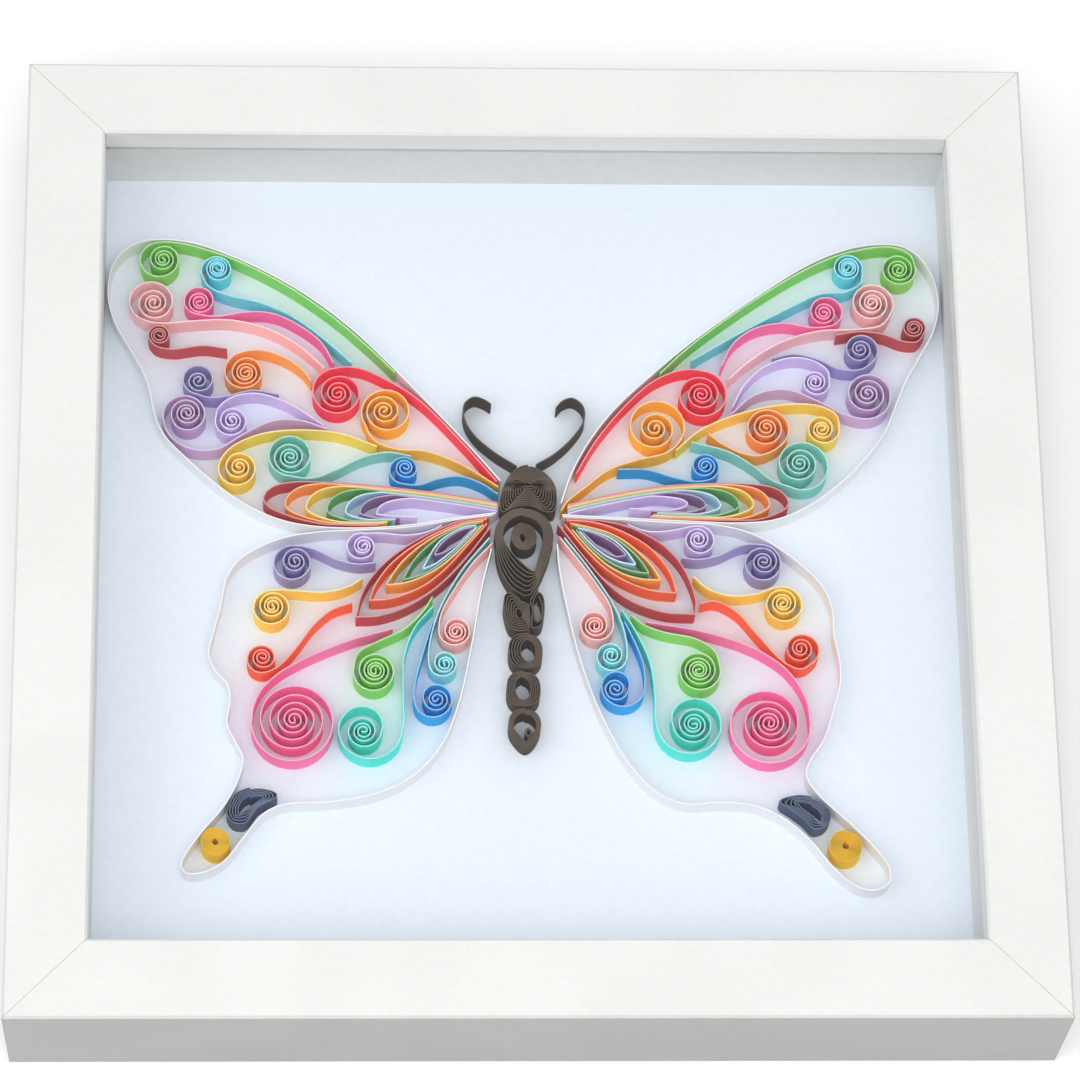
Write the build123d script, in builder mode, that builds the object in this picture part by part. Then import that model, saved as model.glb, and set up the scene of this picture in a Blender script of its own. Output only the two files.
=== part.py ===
"""Quilled paper butterfly on a white card in a white box frame, lying on its back."""

from math import atan2, copysign, cos, hypot, pi, radians, sin, sqrt
import os

from build123d import *

os.makedirs("parts", exist_ok=True)

# Driving dimensions, millimetres
outer_size = 250.0
frame_depth = 35.0
rail_width = 19.4
lip_thickness = 8.0
rabbet_width = 6.0
edge_rounding = 0.6
glazing_thickness = 2.0
spacer_height = 17.3
spacer_thickness = 5.4
card_thickness = 0.5
board_thickness = 3.0
seat_clearance = 0.3
point_length = 16.0
point_width = 8.0
point_thickness = 0.6
point_depth_in_rail = 5.0
point_pitch = 110.0
slot_clearance = 0.1
strip_height = 6.0
strip_thickness = 0.3
lane_gap = 0.08

# How finely the wound strips are faceted
coil_turns = 1.75
coil_facets = 7
coil_core = 0.42

# Heights of the stack, back face of the frame at zero
half = outer_size / 2
window = outer_size - 2 * rail_width
inner = window / 2
seat = inner + rabbet_width
glazing_back = frame_depth - lip_thickness - glazing_thickness
card_top = glazing_back - spacer_height
card_back = card_top - card_thickness
board_back = card_back - board_thickness

# The butterfly is laid out on a window 211.2 wide and follows the window's size
layout_window = 211.2
fit = window / layout_window
lane = strip_thickness / fit + lane_gap
nose_length = 9.0

ccw = 1
cw = -1


def coil(outer, core, start, sense, turns, facets):
    """Points of a wound strip from its outer ring (x, y, radius) in to its core (x, y, radius)."""
    count = round(turns * facets)
    points = []
    for step in range(count + 1):
        turn = turns * step / count
        drift = min(turn, 1.0) ** 2
        radius = outer[2] + (core[2] - outer[2]) * drift
        if turn > 1:
            radius = core[2] * (1 - (1 - coil_core) * (turn - 1) / (turns - 1))
        angle = radians(start) + sense * 2 * pi * turn
        x = outer[0] + (core[0] - outer[0]) * drift + radius * cos(angle)
        y = outer[1] + (core[1] - outer[1]) * drift + radius * sin(angle)
        points.append((x, y))
    return points


def scroll(outer, core, start, sense, tail):
    """Route of a scroll: the coil from its core outwards, then the tail."""
    return coil(outer, core, start, sense, coil_turns, coil_facets)[::-1] + tail


def ribbon(route, thickness):
    """Closed outline of a strip of even thickness along a route, mitred at each bend."""
    left = []
    right = []
    last = len(route) - 1
    for i, (x, y) in enumerate(route):
        before = route[max(i - 1, 0)]
        after = route[min(i + 1, last)]
        heading_in = atan2(y - before[1], x - before[0]) if i else atan2(after[1] - y, after[0] - x)
        heading_out = atan2(after[1] - y, after[0] - x) if i < last else heading_in
        bend = atan2(sin(heading_out - heading_in), cos(heading_out - heading_in))
        reach = thickness / 2 / max(cos(bend / 2), 0.35)
        normal = heading_in + bend / 2 + pi / 2
        left.append((x + reach * cos(normal), y + reach * sin(normal)))
        right.append((x - reach * cos(normal), y - reach * sin(normal)))
    return right + left[::-1]


def placed(points):
    """Layout points brought to the size of the window."""
    return [(x * fit, y * fit) for x, y in points]


def teardrop(x, y, radius, tip, facets):
    """Round drop with one point: the arc between the two tangents from the tip."""
    reach = hypot(tip[0] - x, tip[1] - y)
    toward = atan2(tip[1] - y, tip[0] - x)
    spread = atan2(sqrt(reach**2 - radius**2), radius)
    sweep = 2 * pi - 2 * spread
    angles = [toward + spread + sweep * i / facets for i in range(facets + 1)]
    return [(x + radius * cos(a), y + radius * sin(a)) for a in angles] + [tip]


def arc(x, y, radius, start, end, facets):
    """Points along an arc, angles in degrees."""
    angles = [radians(start + (end - start) * i / facets) for i in range(facets + 1)]
    return [(x + radius * cos(a), y + radius * sin(a)) for a in angles]


def barrel(x, y, half_width, half_height, squareness, facets):
    """Ring of points between an oval (squareness 1) and a rectangle (squareness 0)."""
    points = []
    for step in range(facets):
        angle = 2 * pi * step / facets
        across = copysign(abs(cos(angle)) ** squareness, cos(angle))
        along = copysign(abs(sin(angle)) ** squareness, sin(angle))
        points.append((x + half_width * across, y + half_height * along))
    return points


def level(guide, x):
    """Height of a guide line at x. Its end pieces run on straight beyond its ends."""
    ordered = sorted(guide)
    spans = list(zip(ordered, ordered[1:]))
    (x0, y0), (x1, y1) = next((span for span in spans if x <= span[1][0]), spans[-1])
    return y0 + (y1 - y0) * (x - x0) / (x1 - x0)


def nested_loop(side, number, upper, lower, nose, heel, end):
    """Route of one nested loop: out along the upper guide, round the nose and back along the lower guide.

    Each further loop lies one lane inside the one before. Side is -1 on the left and 1 on the right.
    """
    drop = number * lane
    shoulder = nose[0] - side * nose_length
    turn = nose[0] - side * heel
    rise = level(upper, shoulder) - drop - nose[1]
    fall = level(lower, turn) + drop - nose[1]
    route = [(x, y - drop) for x, y in upper if side * x < side * shoulder - 2.5]
    for back, share in ((nose_length, 1.0), (3.6, 0.82), (0.9, 0.46), (0.0, 0.0)):
        route.append((nose[0] - side * back, nose[1] + rise * share))
    for back, share in ((0.08, 0.30), (0.35, 0.62), (0.68, 0.87), (1.0, 1.0)):
        route.append((nose[0] - side * heel * back, nose[1] + fall * share))
    route += [(x, y + drop) for x, y in lower if side * end + 1 < side * x < side * turn - 1]
    route.append((end, level(lower, end) + drop))
    return route


def strips(label, routes, thickness=strip_thickness):
    """Strips on edge along the routes, standing on the card, written out as one sub-part."""
    with BuildPart() as paper:
        with BuildSketch(Plane.XY.offset(card_top)):
            for route in routes:
                with BuildLine():
                    Polyline(*ribbon(placed(route), thickness), close=True)
                make_face()
        extrude(amount=strip_height)
    paper.part.label = label
    export_step(paper.part, f"parts/{label}.step")


def rolls(label, outlines, openings, ribs=()):
    """Tightly wound pieces: outlines with openings through them, and loose turns inside the openings."""
    with BuildPart() as paper:
        with BuildSketch(Plane.XY.offset(card_top)):
            for outline in outlines:
                with BuildLine():
                    Polyline(*placed(outline), close=True)
                make_face()
            for opening in openings:
                with BuildLine():
                    Polyline(*placed(opening), close=True)
                make_face(mode=Mode.SUBTRACT)
            for route, thickness in ribs:
                with BuildLine():
                    Polyline(*ribbon(placed(route), thickness), close=True)
                make_face()
        extrude(amount=strip_height)
    paper.part.label = label
    export_step(paper.part, f"parts/{label}.step")


# Frame rails: rectangular moulding with a rabbet behind the lip and slots for the points
for number, side in enumerate(("top", "left", "bottom", "right")):
    turned = Plane.XY.rotated((0, 0, 90 * number))
    with BuildPart() as rail:
        with BuildSketch(turned):
            with BuildLine():
                Polyline((-half, half), (half, half), (inner, inner), (-inner, inner), close=True)
            make_face()
        extrude(amount=frame_depth)
        with BuildSketch(turned):
            with BuildLine():
                Polyline((-seat, seat), (seat, seat), (inner, inner), (-inner, inner), close=True)
            make_face()
        extrude(amount=frame_depth - lip_thickness, mode=Mode.SUBTRACT)
        front_edges = rail.faces().sort_by(Axis.Z)[-1].edges()
        long_edges = front_edges.filter_by(Axis.X if number % 2 == 0 else Axis.Y)
        chamfer(long_edges, edge_rounding)
        slot_height = point_thickness + slot_clearance
        with BuildSketch(turned.offset(board_back - slot_height)):
            with Locations((-point_pitch / 2, seat), (point_pitch / 2, seat)):
                Rectangle(point_width + 2 * slot_clearance, 2 * (point_depth_in_rail + slot_clearance))
        extrude(amount=slot_height, mode=Mode.SUBTRACT)
    rail.part.label = f"frame_rail_{side}"
    export_step(rail.part, f"parts/frame_rail_{side}.step")

sheet = 2 * (seat - seat_clearance)

with BuildPart() as glazing:
    with BuildSketch(Plane.XY.offset(glazing_back)):
        Rectangle(sheet, sheet)
    extrude(amount=glazing_thickness)
glazing.part.label = "front_glazing"
export_step(glazing.part, "parts/front_glazing.step")

with BuildPart() as spacer:
    with BuildSketch(Plane.XY.offset(card_top)):
        Rectangle(sheet, sheet)
        Rectangle(sheet - 2 * spacer_thickness, sheet - 2 * spacer_thickness, mode=Mode.SUBTRACT)
    extrude(amount=spacer_height)
spacer.part.label = "inner_spacer"
export_step(spacer.part, "parts/inner_spacer.step")

with BuildPart() as card:
    with BuildSketch(Plane.XY.offset(card_back)):
        Rectangle(sheet, sheet)
    extrude(amount=card_thickness)
card.part.label = "backing_card"
export_step(card.part, "parts/backing_card.step")

with BuildPart() as board:
    with BuildSketch(Plane.XY.offset(board_back)):
        Rectangle(sheet, sheet)
    extrude(amount=board_thickness)
board.part.label = "back_board"
export_step(board.part, "parts/back_board.step")

# Bent steel points: two to a rail, pushed into the slots and lying on the back of the board
with BuildPart() as points:
    for number in range(4):
        turned = Plane.XY.rotated((0, 0, 90 * number))
        with BuildSketch(turned.offset(board_back - point_thickness)):
            centre = seat + point_depth_in_rail - point_length / 2
            with Locations((-point_pitch / 2, centre), (point_pitch / 2, centre)):
                Rectangle(point_width, point_length)
        extrude(amount=point_thickness)
points.part.label = "retaining_points"
export_step(points.part, "parts/retaining_points.step")

# Wing outlines
strips(
    "left_forewing_outline",
    [
        [(-7, 20.4), (-15, 30.2), (-35, 52.8), (-44, 62), (-54, 70.3), (-64, 76.8), (-74, 81.9),
         (-83, 85.3), (-90, 86.4), (-96, 86), (-100.5, 83.8), (-103.5, 80), (-104.8, 75),
         (-104.8, 69.5), (-103, 63), (-99.5, 56.5), (-96, 50), (-94, 44), (-92.6, 37.5), (-90.2, 32.2),
         (-85, 26.4), (-77, 18.9), (-69, 13.1), (-61, 9.5), (-53, 7.9), (-42, 7.5), (-30, 8.3),
         (-18, 10.3), (-8.2, 11.7)],
    ],
)
strips(
    "right_forewing_outline",
    [
        [(8, 14.4), (10.5, 21.9), (14.8, 30.4), (21.4, 39.6), (31, 49.2), (42, 59), (64, 75.4),
         (74, 81.6), (83, 85.2), (90, 86.3), (95.5, 85.9), (99.5, 83.6), (102.2, 79.8), (104, 74.5),
         (104.4, 68.5), (102.6, 61.5), (98.8, 54.5), (95, 47.5), (92.3, 41), (89.5, 34.3), (84.5, 27.2),
         (77, 19.5), (69, 13.6), (61, 10.1), (52, 9.2), (40, 9.6), (24, 10.4), (15, 10.85),
         (8.2, 11.25)],
    ],
)
strips(
    "left_hindwing_outline",
    [
        [(-9, 11.15), (-18, 9.87), (-30, 7.8), (-42, 7), (-52, 6.4), (-60, 5), (-66.5, 2.3),
         (-71.5, -1.2), (-74.5, -6), (-75.8, -13), (-77.6, -20.5), (-78.6, -26), (-77, -30.3),
         (-73.9, -34), (-73.4, -39), (-74, -44), (-71.8, -49), (-70.1, -53), (-71.2, -58.5),
         (-74.6, -65.3), (-79, -70.8), (-83, -76.5), (-84.6, -80.3), (-83.3, -82.2), (-79.5, -82.1),
         (-74.5, -79.4), (-69.5, -72.9), (-65, -67.2), (-60, -64.8), (-50, -64.2), (-38, -62),
         (-29, -57.4), (-22, -49.4), (-17.6, -38), (-14.5, -23.5), (-11.8, -8), (-9.4, 2.2)],
    ],
)
strips(
    "right_hindwing_outline",
    [
        [(8.4, 10.75), (15, 10.4), (24, 9.95), (38, 9.15), (46, 8.75), (54, 6.8), (61, 3), (67.5, -2.4),
         (72, -7.5), (74.3, -13.5), (74.5, -20.5), (75.6, -27), (75.6, -33), (73.6, -40.5), (71, -48),
         (67.4, -53.5), (66.4, -57.4), (69.2, -62.2), (76, -69), (82, -75.4), (85.6, -81),
         (85.2, -84.8), (82, -86.5), (77.5, -85.6), (72, -80.7), (66.5, -73.6), (60, -67.9),
         (53, -64.9), (45, -64.2), (37, -64.6), (30, -61.6), (23.5, -54.4), (17.5, -43), (12.5, -29),
         (9.3, -15), (7.3, -3), (6.9, 3.4)],
    ],
)

# Antennae
strips(
    "antennae",
    [
        [(-2.9, 24.3), (-9, 28.5), (-13.6, 33), (-15.8, 37.4), (-15.7, 41.2), (-13.4, 43.1),
         (-11, 42.5), (-9.1, 41.2)],
        [(2, 24.8), (6.5, 27.6), (11.2, 32.2), (14.1, 37), (13.9, 40.7), (11.3, 42.9), (8.8, 42.1),
         (7.2, 40.3)],
    ],
)

# Forewing scrolls, the left and the right one of each colour
strips(
    "green_forewing_scrolls",
    [
        scroll((-92.2, 80.6, 5), (-91.3, 81, 3.5), 92, ccw,
               [(-87, 85.4), (-79, 83.15), (-71, 79.8), (-60, 73.6), (-49, 65.4), (-40, 57.1),
                (-33, 49.8)]),
        scroll((94.8, 79.4, 4.3), (94.8, 79.3, 3.4), 20, cw,
               [(97.9, 83.4), (93.5, 85.5), (86, 84.9), (77, 82.1), (64, 74.7), (42, 58.2),
                (33.4, 49.9)]),
    ],
)
strips(
    "teal_forewing_scrolls",
    [
        scroll((-77.9, 77.9, 3.8), (-77.6, 78.5, 2.75), 205, cw,
               [(-79.7, 73.4), (-75, 71), (-67, 69), (-59, 65.3), (-50, 58.3), (-43.9, 52.4)]),
        scroll((81.9, 79.5, 3.7), (81.9, 79.7, 2.7), 345, ccw,
               [(84.9, 75.3), (81, 72.9), (74.5, 72.2), (66, 68), (54, 61.3), (41.5, 53.6)]),
    ],
)
strips(
    "hot_pink_forewing_scrolls",
    [
        scroll((-82, 69.5, 3.9), (-82, 69.1, 2.9), 270, cw,
               [(-77.5, 65.1), (-70, 66.3), (-63.5, 65.9), (-56.3, 62.2), (-51.2, 57.7), (-48.4, 52.4)]),
        scroll((75.8, 67.4, 4.2), (75.3, 67.1, 2.9), 278, ccw,
               [(72, 62.9), (65, 64), (57.5, 62.4), (52, 58.1), (48.9, 51.9)]),
    ],
)
strips(
    "salmon_forewing_scrolls",
    [
        scroll((-94, 69.3, 5.6), (-93.4, 68.8, 4.1), 252, cw,
               [(-91.5, 63.1), (-84, 63.7), (-75, 64.1), (-66, 62.1), (-57.5, 57.4), (-50.6, 51)]),
        scroll((87.7, 69.7, 5.3), (87.6, 69.9, 3.9), 328, ccw,
               [(89.8, 63.7), (84, 62.45), (74, 61.9), (64.5, 58.9), (56, 53.4), (50.7, 48.5)]),
    ],
)
strips(
    "dark_red_forewing_scrolls",
    [
        scroll((-92, 59.8, 2.65), (-92, 59.8, 2), 222, cw,
               [(-92.6, 56.7), (-88.5, 55.9), (-81, 56.9), (-75, 56.1)]),
        scroll((98, 62.9, 2.85), (98, 62.9, 2.1), 325, ccw,
               [(98.6, 59.1), (94.8, 59.2), (90, 61.1), (84, 61.75), (78.2, 60.8)]),
    ],
)
strips(
    "orange_forewing_scrolls",
    [
        scroll((-70.8, 50, 4.7), (-70.3, 49.6, 3.5), 140, ccw,
               [(-72.5, 54.7), (-67, 55.8), (-60.5, 53.7), (-56, 50.3), (-53.9, 47.3)]),
        scroll((60, 34.8, 5.3), (59.7, 35.2, 3.9), 330, ccw,
               [(62, 29.4), (57.5, 27.5), (52.7, 28.4), (48.5, 30.7), (45, 33.5)]),
    ],
)
strips(
    "violet_forewing_scrolls",
    [
        scroll((-81.8, 47.7, 4.1), (-82, 47.3, 2.7), 262, cw,
               [(-79, 42.7), (-74.5, 43.2), (-68.5, 44.7), (-62, 43.6)]),
        scroll((84.4, 56.7, 4.2), (84.1, 56.9, 2.7), 312, ccw,
               [(84, 51.3), (78.5, 51.4), (73.5, 53.9), (67.5, 55.4), (61.8, 54.3)]),
    ],
)
strips(
    "purple_forewing_scrolls",
    [
        scroll((-85.4, 37.9, 5.3), (-84.8, 38.5, 3.9), 195, cw,
               [(-89.2, 32.7), (-84.5, 29), (-77.5, 28.6), (-70.5, 32.9), (-63, 36.5), (-56, 36.4),
                (-49.8, 34.2)]),
        scroll((85.8, 44.5, 5.4), (85.5, 44.7, 4), 350, ccw,
               [(89.7, 39.7), (85.5, 37.7), (79.5, 38.9), (72.5, 42.7), (65, 45.6), (57, 44.1),
                (50.9, 38.7)]),
    ],
)
strips(
    "lavender_forewing_scrolls",
    [
        scroll((-73.8, 36.3, 3.9), (-73.6, 36.5, 2.8), 165, ccw,
               [(-77, 39.8), (-74, 42.6), (-68, 43.9), (-60.5, 41.7), (-54, 37.6), (-50.9, 35.3)]),
        scroll((72.7, 47.6, 3.3), (72.4, 47.8, 2.4), 10, cw,
               [(75.7, 50.8), (72.4, 53.5), (67, 54.45), (60, 52.1), (54.6, 46.9), (51.4, 40.8)]),
    ],
)
strips(
    "red_forewing_scrolls",
    [
        scroll((-47.3, 44.6, 6.3), (-47.3, 44, 4.5), 95, ccw,
               [(-42.5, 51), (-36, 48.2), (-27.5, 42.6), (-16, 30.2), (-7.9, 20.2)]),
        scroll((43.6, 44.2, 6.4), (43.7, 44.2, 4.5), 85, cw,
               [(39, 50.8), (32, 47.9), (24.5, 40.9), (17.1, 31.5), (11.9, 22.4)]),
    ],
)
strips(
    "gold_forewing_scrolls",
    [
        scroll((-35.1, 38.8, 6.3), (-35.7, 39.3, 4.5), 212, cw,
               [(-38.3, 31.4), (-33, 28.9), (-25.5, 28.3), (-16.5, 24.7), (-7.4, 18.7)]),
        scroll((32, 35.4, 7.2), (31.8, 34.9, 4.6), 320, ccw,
               [(34.5, 28.2), (27, 26.1), (20, 23.4), (14.2, 18.8), (9.6, 14.9), (7.9, 12.4)]),
    ],
)
strips(
    "yellow_forewing_scrolls",
    [
        scroll((-72.1, 23.5, 4.7), (-71.7, 23.9, 3.3), 150, ccw,
               [(-73.6, 29.2), (-67, 32.6), (-58, 33.9), (-47, 33.1), (-37.6, 29.6)]),
        scroll((74, 35, 4), (73.6, 34.8, 2.6), 10, cw,
               [(77.3, 38.8), (73, 41.2), (65, 41.5), (54, 39.2), (43.5, 34.6), (36.9, 28.9)]),
    ],
)
strips(
    "sea_green_forewing_scrolls",
    [
        scroll((-58.8, 27.1, 5.6), (-59.1, 26.6, 4.2), 268, cw,
               [(-53.5, 20.95), (-48, 23), (-41, 26.6), (-34.5, 28), (-28.9, 26.9)]),
        scroll((68.3, 24.9, 6.7), (67.7, 25.5, 4.6), 240, ccw,
               [(60.5, 20.9), (56, 24.7), (50, 28.5), (40.8, 31.1)]),
    ],
)
strips(
    "blue_forewing_scrolls",
    [
        scroll((-30.9, 23.1, 3.6), (-30.6, 23.8, 2.45), 268, cw,
               [(-27.3, 19.2), (-22, 20.9), (-17, 21.5), (-12, 19.8), (-7.6, 16.8)]),
        scroll((44, 24.3, 3.5), (44.2, 24.7, 2.4), 300, ccw,
               [(41.5, 20.4), (36, 21.5), (29.5, 23.5), (22.3, 23.6)]),
    ],
)

# Hindwing scrolls, the left and the right one of each colour
strips(
    "lavender_hindwing_scrolls",
    [
        scroll((-41.5, 2.6, 3.6), (-41, 2.8, 2.4), 75, ccw,
               [(-36.5, 6.2), (-31, 5.65), (-27, 6.05), (-24.2, 6.95), (-21.6, 8.25)]),
        scroll((42, 4.6, 3.8), (41.8, 4.9, 2.7), 95, cw,
               [(36.5, 7.4), (32.5, 6.8), (29, 6.95), (26.6, 7.7), (24.4, 8.75)]),
    ],
)
strips(
    "violet_hindwing_scrolls",
    [
        scroll((-58.3, -2, 4.8), (-57.7, -1.4, 3.3), 80, ccw,
               [(-53.5, 2), (-47.5, -0.9), (-42.5, -2.1), (-37.9, -1.7)]),
        scroll((57.1, -1.5, 5), (57.8, -1.1, 3.6), 95, cw,
               [(52.5, 3.2), (46.5, 0.4), (41.5, -0.6), (37.5, -0.1)]),
    ],
)
strips(
    "yellow_hindwing_scrolls",
    [
        scroll((-63.2, -13.8, 4.7), (-63.2, -13.2, 3.4), 85, ccw,
               [(-58, -9.2), (-50.5, -9.6), (-45, -8.3), (-41.2, -5.9)]),
        scroll((62.2, -12.6, 4.8), (62.2, -12.1, 3.5), 105, cw,
               [(55.5, -9.8), (49, -10.2), (43.8, -8.4), (40.3, -5.1)]),
    ],
)
strips(
    "red_orange_hindwing_scrolls",
    [
        scroll((-65.7, -27.2, 3.6), (-65.6, -26.8, 2.5), 270, cw,
               [(-62, -29.4), (-57.8, -24.9), (-53, -18.2), (-48.5, -14.2), (-43.7, -12.4)]),
        scroll((66.6, -24.5, 4.1), (66.2, -24.1, 2.8), 310, ccw,
               [(66, -29.5), (62, -27.8), (56, -21), (50.5, -14.4), (45.5, -11.7), (41.9, -12.3)]),
    ],
)
strips(
    "big_pink_hindwing_scrolls",
    [
        scroll((-58, -43.7, 10.1), (-57.8, -42.9, 8.2), 170, ccw,
               [(-66.2, -36), (-62, -31.3), (-55, -27), (-44, -22.2), (-33.8, -19.2)]),
        scroll((57.6, -44, 10.3), (57.9, -43.6, 7), 10, cw,
               [(66.4, -35.8), (62, -29.2), (54, -23.8), (42, -19.7), (28.2, -17.2)]),
    ],
)
strips(
    "green_hindwing_scrolls",
    [
        scroll((-38.4, -30.5, 5), (-38.1, -30.1, 3.9), 165, ccw,
               [(-42.2, -25.5), (-37.5, -22.6), (-31, -19.3), (-26.5, -14.8), (-24, -10.7)]),
        scroll((41.2, -30, 5.1), (41, -29.8, 4), 15, cw,
               [(44.9, -24.7), (40.5, -21.7), (32.5, -19.9), (27.8, -18), (24.8, -15.4)]),
    ],
)
strips(
    "turquoise_hindwing_scrolls",
    [
        scroll((-39.5, -45.2, 8), (-41, -45.9, 4.4), 0, cw,
               [(-31.3, -36), (-31.1, -27), (-28.6, -19.2), (-23.9, -13.2)]),
        scroll((38.4, -43.6, 8.1), (39.3, -44, 5), 185, ccw,
               [(30.1, -36), (29, -27.5), (25.6, -19.4), (22.5, -14)]),
    ],
)
strips(
    "blue_hindwing_scrolls",
    [
        scroll((-24, -37.8, 4.6), (-23.1, -37.6, 3.2), 185, ccw,
               [(-28.3, -33), (-26.4, -25.5), (-23.9, -16.8)]),
        scroll((22.3, -34.2, 5.3), (20.5, -34.8, 3.2), 0, cw,
               [(27.5, -29), (25.9, -23.6), (23.1, -17.2)]),
    ],
)
strips(
    "light_teal_hindwing_scrolls",
    [
        scroll((-21.6, -28.2, 3.4), (-21.1, -28.3, 2.4), 180, ccw,
               [(-24.7, -22.5), (-22.4, -14.3), (-17, -4), (-9.9, 5)]),
        scroll((19.6, -26.3, 3.8), (19.7, -26, 2.5), 0, cw,
               [(23.1, -20.3), (20.4, -12.6), (14.6, -3.1), (8.7, 5.1)]),
    ],
)
strips(
    "coral_hindwing_scrolls",
    [
        scroll((-18.7, -19.7, 3.8), (-18.2, -19.8, 2.8), 170, ccw,
               [(-21.8, -15), (-18, -7.7), (-13.5, -1.1), (-9.1, 3.6)]),
        scroll((16.2, -18, 4.1), (15.8, -18.2, 2.9), 10, cw,
               [(19.7, -13.2), (16.2, -7), (11.7, -0.4), (7.4, 5.4)]),
    ],
)

# Forewing nested loops: guide lines of the outermost loop, then where each loop turns and ends
left_upper = [(-7.8, 14.5), (-20, 16.6), (-32, 18.2), (-44, 19.4), (-54, 19.9), (-60, 19.9)]
left_lower = [(-50, 8.45), (-40, 8.2), (-36, 8.36), (-27, 8.36)]
right_upper = [(9.6, 13.85), (15, 15.4), (30, 18.6), (40, 19.6), (50, 19.9), (60, 19.5)]
right_lower = [(56, 10), (50, 9.95), (40, 10.08), (30, 10.47), (24, 10.83)]
nested = (
    ("dark_red", ((-65.6, 15.2), 16, -37), ((64.5, 14.6), 9, 30)),
    ("orange", ((-60.2, 13.8), 12, -36), ((59.8, 14.3), 8, 30)),
    ("yellow", ((-55, 13), 9, -35), ((55.8, 14.2), 8, 30.6)),
    ("green", ((-49.9, 12.4), 7, -34), ((52.2, 14), 7, 31.2)),
    ("light_blue", ((-45.3, 12), 6, -33), ((47.6, 13.9), 6, 31.8)),
    ("plum", ((-41.8, 11.7), 5, -32), ((43.9, 14), 5, 30.4)),
    ("lavender", ((-37.7, 11.5), 5, -27.6), ((39.4, 14.4), 5, 25)),
)
for number, (colour, left_loop, right_loop) in enumerate(nested):
    strips(
        f"{colour}_forewing_loops",
        [
            nested_loop(-1, number, left_upper, left_lower, *left_loop),
            nested_loop(1, number, right_upper, right_lower, *right_loop),
        ],
    )

# Hindwing petals, each a strip folded to a point away from the body, the left and the right one
strips(
    "dark_red_petal_loops",
    [
        [(-9.9, 10.5), (-16, 9.75), (-22, 7.45), (-29.5, 3.2), (-35, -1.1), (-39.3, -6.1),
         (-41.5, -10.6), (-42.8, -16.2), (-37, -15.8), (-30, -13.2), (-23.5, -8.7), (-17, -2.1),
         (-9.6, 7.9)],
        [(9, 10.25), (15, 9.95), (20, 9.3), (25, 7.85), (32, 4), (36.5, -0.6), (39.2, -5.7),
         (40.8, -12), (40.4, -15.2), (33, -14.7), (25, -11.8), (19, -7), (14, -0.8), (7.1, 8.8)],
    ],
)
strips(
    "orange_red_petal_loops",
    [
        [(-10.4, 10.06), (-16, 9.25), (-22, 6.75), (-27, 3.8), (-31, 0.9), (-35, -3), (-38, -7.6),
         (-39.5, -11.7), (-35, -11.4), (-30, -9.8), (-25, -7), (-20.5, -3), (-16, 2.2), (-10.4, 8.9)],
        [(9.2, 9.8), (15, 9.45), (20, 8.1), (25, 5.75), (29, 3.1), (32.3, -0.4), (34.8, -4.6),
         (36.1, -9.5), (31, -9.1), (26.5, -7.8), (22, -5.5), (18, -2.5), (14, 1.8), (8.8, 8.7)],
    ],
)
strips(
    "amber_petal_loops",
    [
        [(-11.3, 9.52), (-16, 8.75), (-22, 6.05), (-26, 3.5), (-29, 1), (-32, -2.15), (-35.4, -7.6),
         (-31, -7.1), (-26.5, -5.4), (-22, -2.7), (-16, 3.05), (-11.4, 8.6)],
        [(10.2, 8.95), (15, 7.95), (20, 6.3), (24, 3.9), (27, 1.2), (30, -2.2), (32.3, -6.1),
         (28, -5.9), (23.5, -4.7), (19.5, -2.4), (15.5, 1.3), (10.6, 7.3)],
    ],
)
strips(
    "green_petal_loops",
    [
        [(-12.2, 8.98), (-16, 8.3), (-19, 7), (-22, 5.25), (-25, 2.85), (-28.5, -1), (-31.3, -6.3),
         (-27.5, -5.2), (-24, -3.4), (-20, -0.2), (-16, 3.85), (-12.2, 8.3)],
        [(11.2, 8.35), (15, 7.5), (20, 5.65), (22.5, 4), (25, 1.8), (27.6, -1.2), (29.4, -4.4),
         (25.5, -3.8), (21.5, -2.4), (17.5, 0.3), (14, 3.9), (11.6, 7.2)],
    ],
)
strips(
    "light_blue_petal_loops",
    [
        [(-13.1, 8.36), (-16, 7.85), (-19, 6.4), (-22, 4.1), (-24, 1.4), (-26.5, -3.5), (-23.2, -1.9),
         (-19.5, 1.1), (-16, 4.55), (-13, 7.95)],
        [(12, 7.75), (15, 7.08), (20, 5.1), (22.5, 3.1), (24.6, 0.6), (26.3, -2.1), (22.5, -1.35),
         (18.5, 0.6), (14.5, 4.3), (12.5, 6.8)],
    ],
)
strips(
    "plum_petal_loops",
    [
        [(-14, 7.75), (-16, 7.4), (-19, 5.85), (-22, 3.1), (-23.6, 0.3), (-21, 1.15), (-18, 3.2),
         (-14.2, 7.15)],
        [(12.8, 7.2), (15, 6.66), (18.5, 5.15), (21.5, 3.1), (23.9, 0.5), (21.5, 0.1), (18, 1.8),
         (13.2, 6.55)],
    ],
)

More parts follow.
